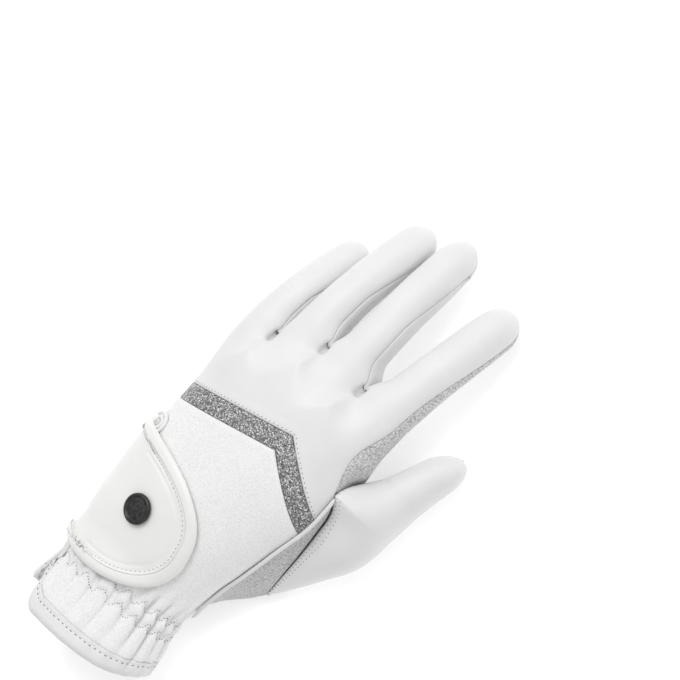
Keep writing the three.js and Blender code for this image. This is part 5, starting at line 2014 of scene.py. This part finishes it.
@dataclass
class Studio:
    """The pale floor, the soft light, the surroundings and the camera."""

    target: tuple[float, float, float] = (-2.688, 143.094, 20.0)
    distance: float = 812.2
    lens: float = 100
    sensor: float = 36
    turn: float = 24 * RAD
    pitch: float = 6 * RAD
    roll: float = 47 * RAD
    floor_size: float = 4.0
    # Shares of the picture's right, its up and the way to the camera
    key_from: tuple[float, float, float] = (-0.22, 0.55, 0.7)
    sky_from: tuple[float, float, float] = (-0.16, 0.5, 0.7)
    key_size: float = 0.5
    key_away: float = 1.0
    key_power: float = 3.4
    sky_low: float = 0.26
    sky_high: float = 0.9
    floor_glow: float = 0.3

    def axes(self) -> tuple[Vector, Vector, Vector]:
        """The picture's right, its up, and the direction from the glove to the camera."""
        sideways, ahead = math.sin(self.turn), math.sin(self.pitch)
        back = Vector((sideways, ahead, math.sqrt(1 - sideways**2 - ahead**2)))
        along = (Vector((0, 1, 0)) - back * back.y).normalized()
        across = back.cross(along)
        right = along * math.cos(self.roll) - across * math.sin(self.roll)
        up = along * math.sin(self.roll) + across * math.cos(self.roll)
        return right, up, back

    def toward(self, shares: tuple[float, float, float]) -> Vector:
        """The direction made of shares of the picture's right, its up and the way to the camera."""
        right, up, back = self.axes()
        return (back * shares[2] + up * shares[1] + right * shares[0]).normalized()

    def build(self) -> None:
        """Sets the camera, light, floor, surroundings and view."""
        scene = bpy.context.scene
        right, up, back = self.axes()
        target = (Vector(self.target) + Vector(SHIFT)) * METRES
        camera = bpy.data.objects.new("camera", bpy.data.cameras.new("camera"))
        camera.data.lens, camera.data.sensor_width = self.lens, self.sensor
        turned = Matrix((right, up, back)).transposed().to_4x4()
        camera.matrix_world = Matrix.Translation(target + back * self.distance * METRES) @ turned
        scene.collection.objects.link(camera)
        scene.camera = camera
        self.key_light(target)
        self.floor()
        world = bpy.data.worlds.new("studio")
        world.use_nodes = True
        self.sky(world.node_tree, self.toward(self.sky_from))
        scene.world = world
        scene.view_settings.view_transform = "Standard"
        scene.view_settings.look = "None"

    def sky(self, tree: NodeTree, bright: Vector) -> None:
        """Makes the surroundings a broad soft light that is brightest on one side.

        Args:
            tree: The world's nodes.
            bright: The direction of its brightest part.
        """
        place = tree.nodes.new("ShaderNodeTexCoord")
        toward = tree.nodes.new("ShaderNodeVectorMath")
        toward.operation = "DOT_PRODUCT"
        toward.inputs[1].default_value = bright
        tree.links.new(place.outputs["Generated"], toward.inputs[0])
        level = tree.nodes.new("ShaderNodeMapRange")
        level.inputs["From Min"].default_value = -0.6
        level.inputs["To Min"].default_value = self.sky_low
        level.inputs["To Max"].default_value = self.sky_high
        tree.links.new(toward.outputs["Value"], level.inputs["Value"])
        backdrop = tree.nodes["Background"]
        backdrop.inputs["Color"].default_value = (1, 1, 1, 1)
        tree.links.new(level.outputs["Result"], backdrop.inputs["Strength"])

    def key_light(self, target: Vector) -> None:
        """Adds a soft square light, with its size and distance in metres, that faces the glove.

        Args:
            target: What it faces.
        """
        made = bpy.data.objects.new("key", bpy.data.lights.new("key", "AREA"))
        made.data.size = self.key_size
        made.data.energy = self.key_power
        direction = self.toward(self.key_from)
        made.location = target + direction * self.key_away
        made.rotation_euler = direction.to_track_quat("Z", "Y").to_euler()
        bpy.context.scene.collection.objects.link(made)

    def floor(self) -> None:
        """Adds the pale floor under the glove."""
        bm = bmesh.new()
        bmesh.ops.create_grid(bm, x_segments=1, y_segments=1, size=self.floor_size / 2)
        mesh = bpy.data.meshes.new("floor")
        bm.to_mesh(mesh)
        bm.free()
        made = bpy.data.objects.new("floor", mesh)
        finish, nodes, _ = Finishes.start("floor", 0.9)
        shader = nodes["Principled BSDF"]
        shader.inputs["Base Color"].default_value = (0.97, 0.97, 0.97, 1)
        shader.inputs["Emission Color"].default_value = (1, 1, 1, 1)
        shader.inputs["Emission Strength"].default_value = self.floor_glow
        mesh.materials.append(finish)
        bpy.context.scene.collection.objects.link(made)


def build_glove(finishes: Finishes) -> None:
    """Builds and dresses every piece of the glove.

    Args:
        finishes: The glove's finishes.
    """
    fingers, thumb, cuff, band, tab = FingerParts(), ThumbParts(), Cuff(), GlitterBand(), ClosureTab()
    upper_back = fingers.upper_back().build(finishes.leather)
    palm = fingers.palm().build(finishes.leather)
    tip_patch = fingers.tip_patch().build(finishes.leather)
    side_strip = fingers.side_strip().build(finishes.strip)
    for shell in fingers.fourchettes():
        shell.build(finishes.leather)
    thumb_back = thumb.leather().build(finishes.leather)
    thumb_strip = thumb.strip().build(finishes.strip)
    thumb_patch = thumb.tip_patch().build(finishes.leather)
    # The gusset takes the stretch fabric darkened with painted shade.
    gusset = thumb.gusset().build(finishes.gusset)
    lower_back = cuff.lower_back().build(finishes.stretch)
    palm_side = cuff.palm_side().build(finishes.stretch)
    hem = cuff.hem().build(finishes.leather)
    cuff.slit().build(finishes.leather)
    band.shell().build(finishes.glitter)
    tab_field = tab.field().build(finishes.tab_leather)
    tab.rim().build(finishes.tab_leather)
    tab.snap(finishes.metal)
    Piping().build(finishes.leather)
    Stitching("hem_stitches", "white_leather", length=1.5, gap=1.2, mark=0.7).build(
        [cuff.hem_line(cuff.hem_stitches)], [hem], finishes
    )
    zigzags = [cuff.zigzag(HAND.zigzag_low), cuff.zigzag(HAND.zigzag_high)]
    Stitching("elastic_stitches", "stretch_fabric", length=0.75, gap=0.5, thread=0.42, mark=0.6).build(
        zigzags, [lower_back, palm_side, gusset], finishes
    )
    Stitching("tab_stitches", "white_leather").build(
        [tab.outline(tab.stitch_inset, tab.thickness)], [tab_field], finishes
    )
    above_band = HAND.band_width + 1.2
    Stitching("band_stitches", "white_leather").build(
        [lambda share: band.at(above_band, mix(0.01, 0.99, share))], [upper_back], finishes
    )
    SlitEnd().build(cuff, finishes.thread)
    Stitching("slit_stitches", "stretch_fabric").build(
        [cuff.beside_slit(side) for side in (-1, 1)], [lower_back], finishes
    )
    Stitching("strip_stitches", "strip_fabric", length=1.0, gap=0.9).build(
        [fingers.strip_line(w) for w in (0.72, 0.91)], [side_strip], finishes
    )
    Stitching("thumb_stitches", "white_leather").build(
        [thumb.back_line(0.035), thumb.back_line(0.075)], [thumb_back], finishes
    )
    Stitching("thumb_patch_stitches", "white_leather").build(
        [thumb.patch_line(away) for away in (1.3, 3.2)], [thumb_patch], finishes
    )
    Stitching("tip_patch_stitches", "white_leather").build(
        [fingers.patch_line(row) for row in (6.15, 6.4)], [tip_patch], finishes
    )
    Stitching("palm_stitches", "white_leather").build(
        [fingers.palm_line(), cuff.palm_line(1.8)], [palm], finishes
    )
    Stitching("thumb_strip_stitches", "strip_fabric").build([thumb.strip_line()], [thumb_strip], finishes)


def main() -> None:
    """Loads the frame and builds the glove and the studio."""
    logging.basicConfig(level=logging.INFO, format="%(name)s: %(message)s")
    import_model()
    build_glove(Finishes())
    Studio().build()


if __name__ == "__main__":
    main()
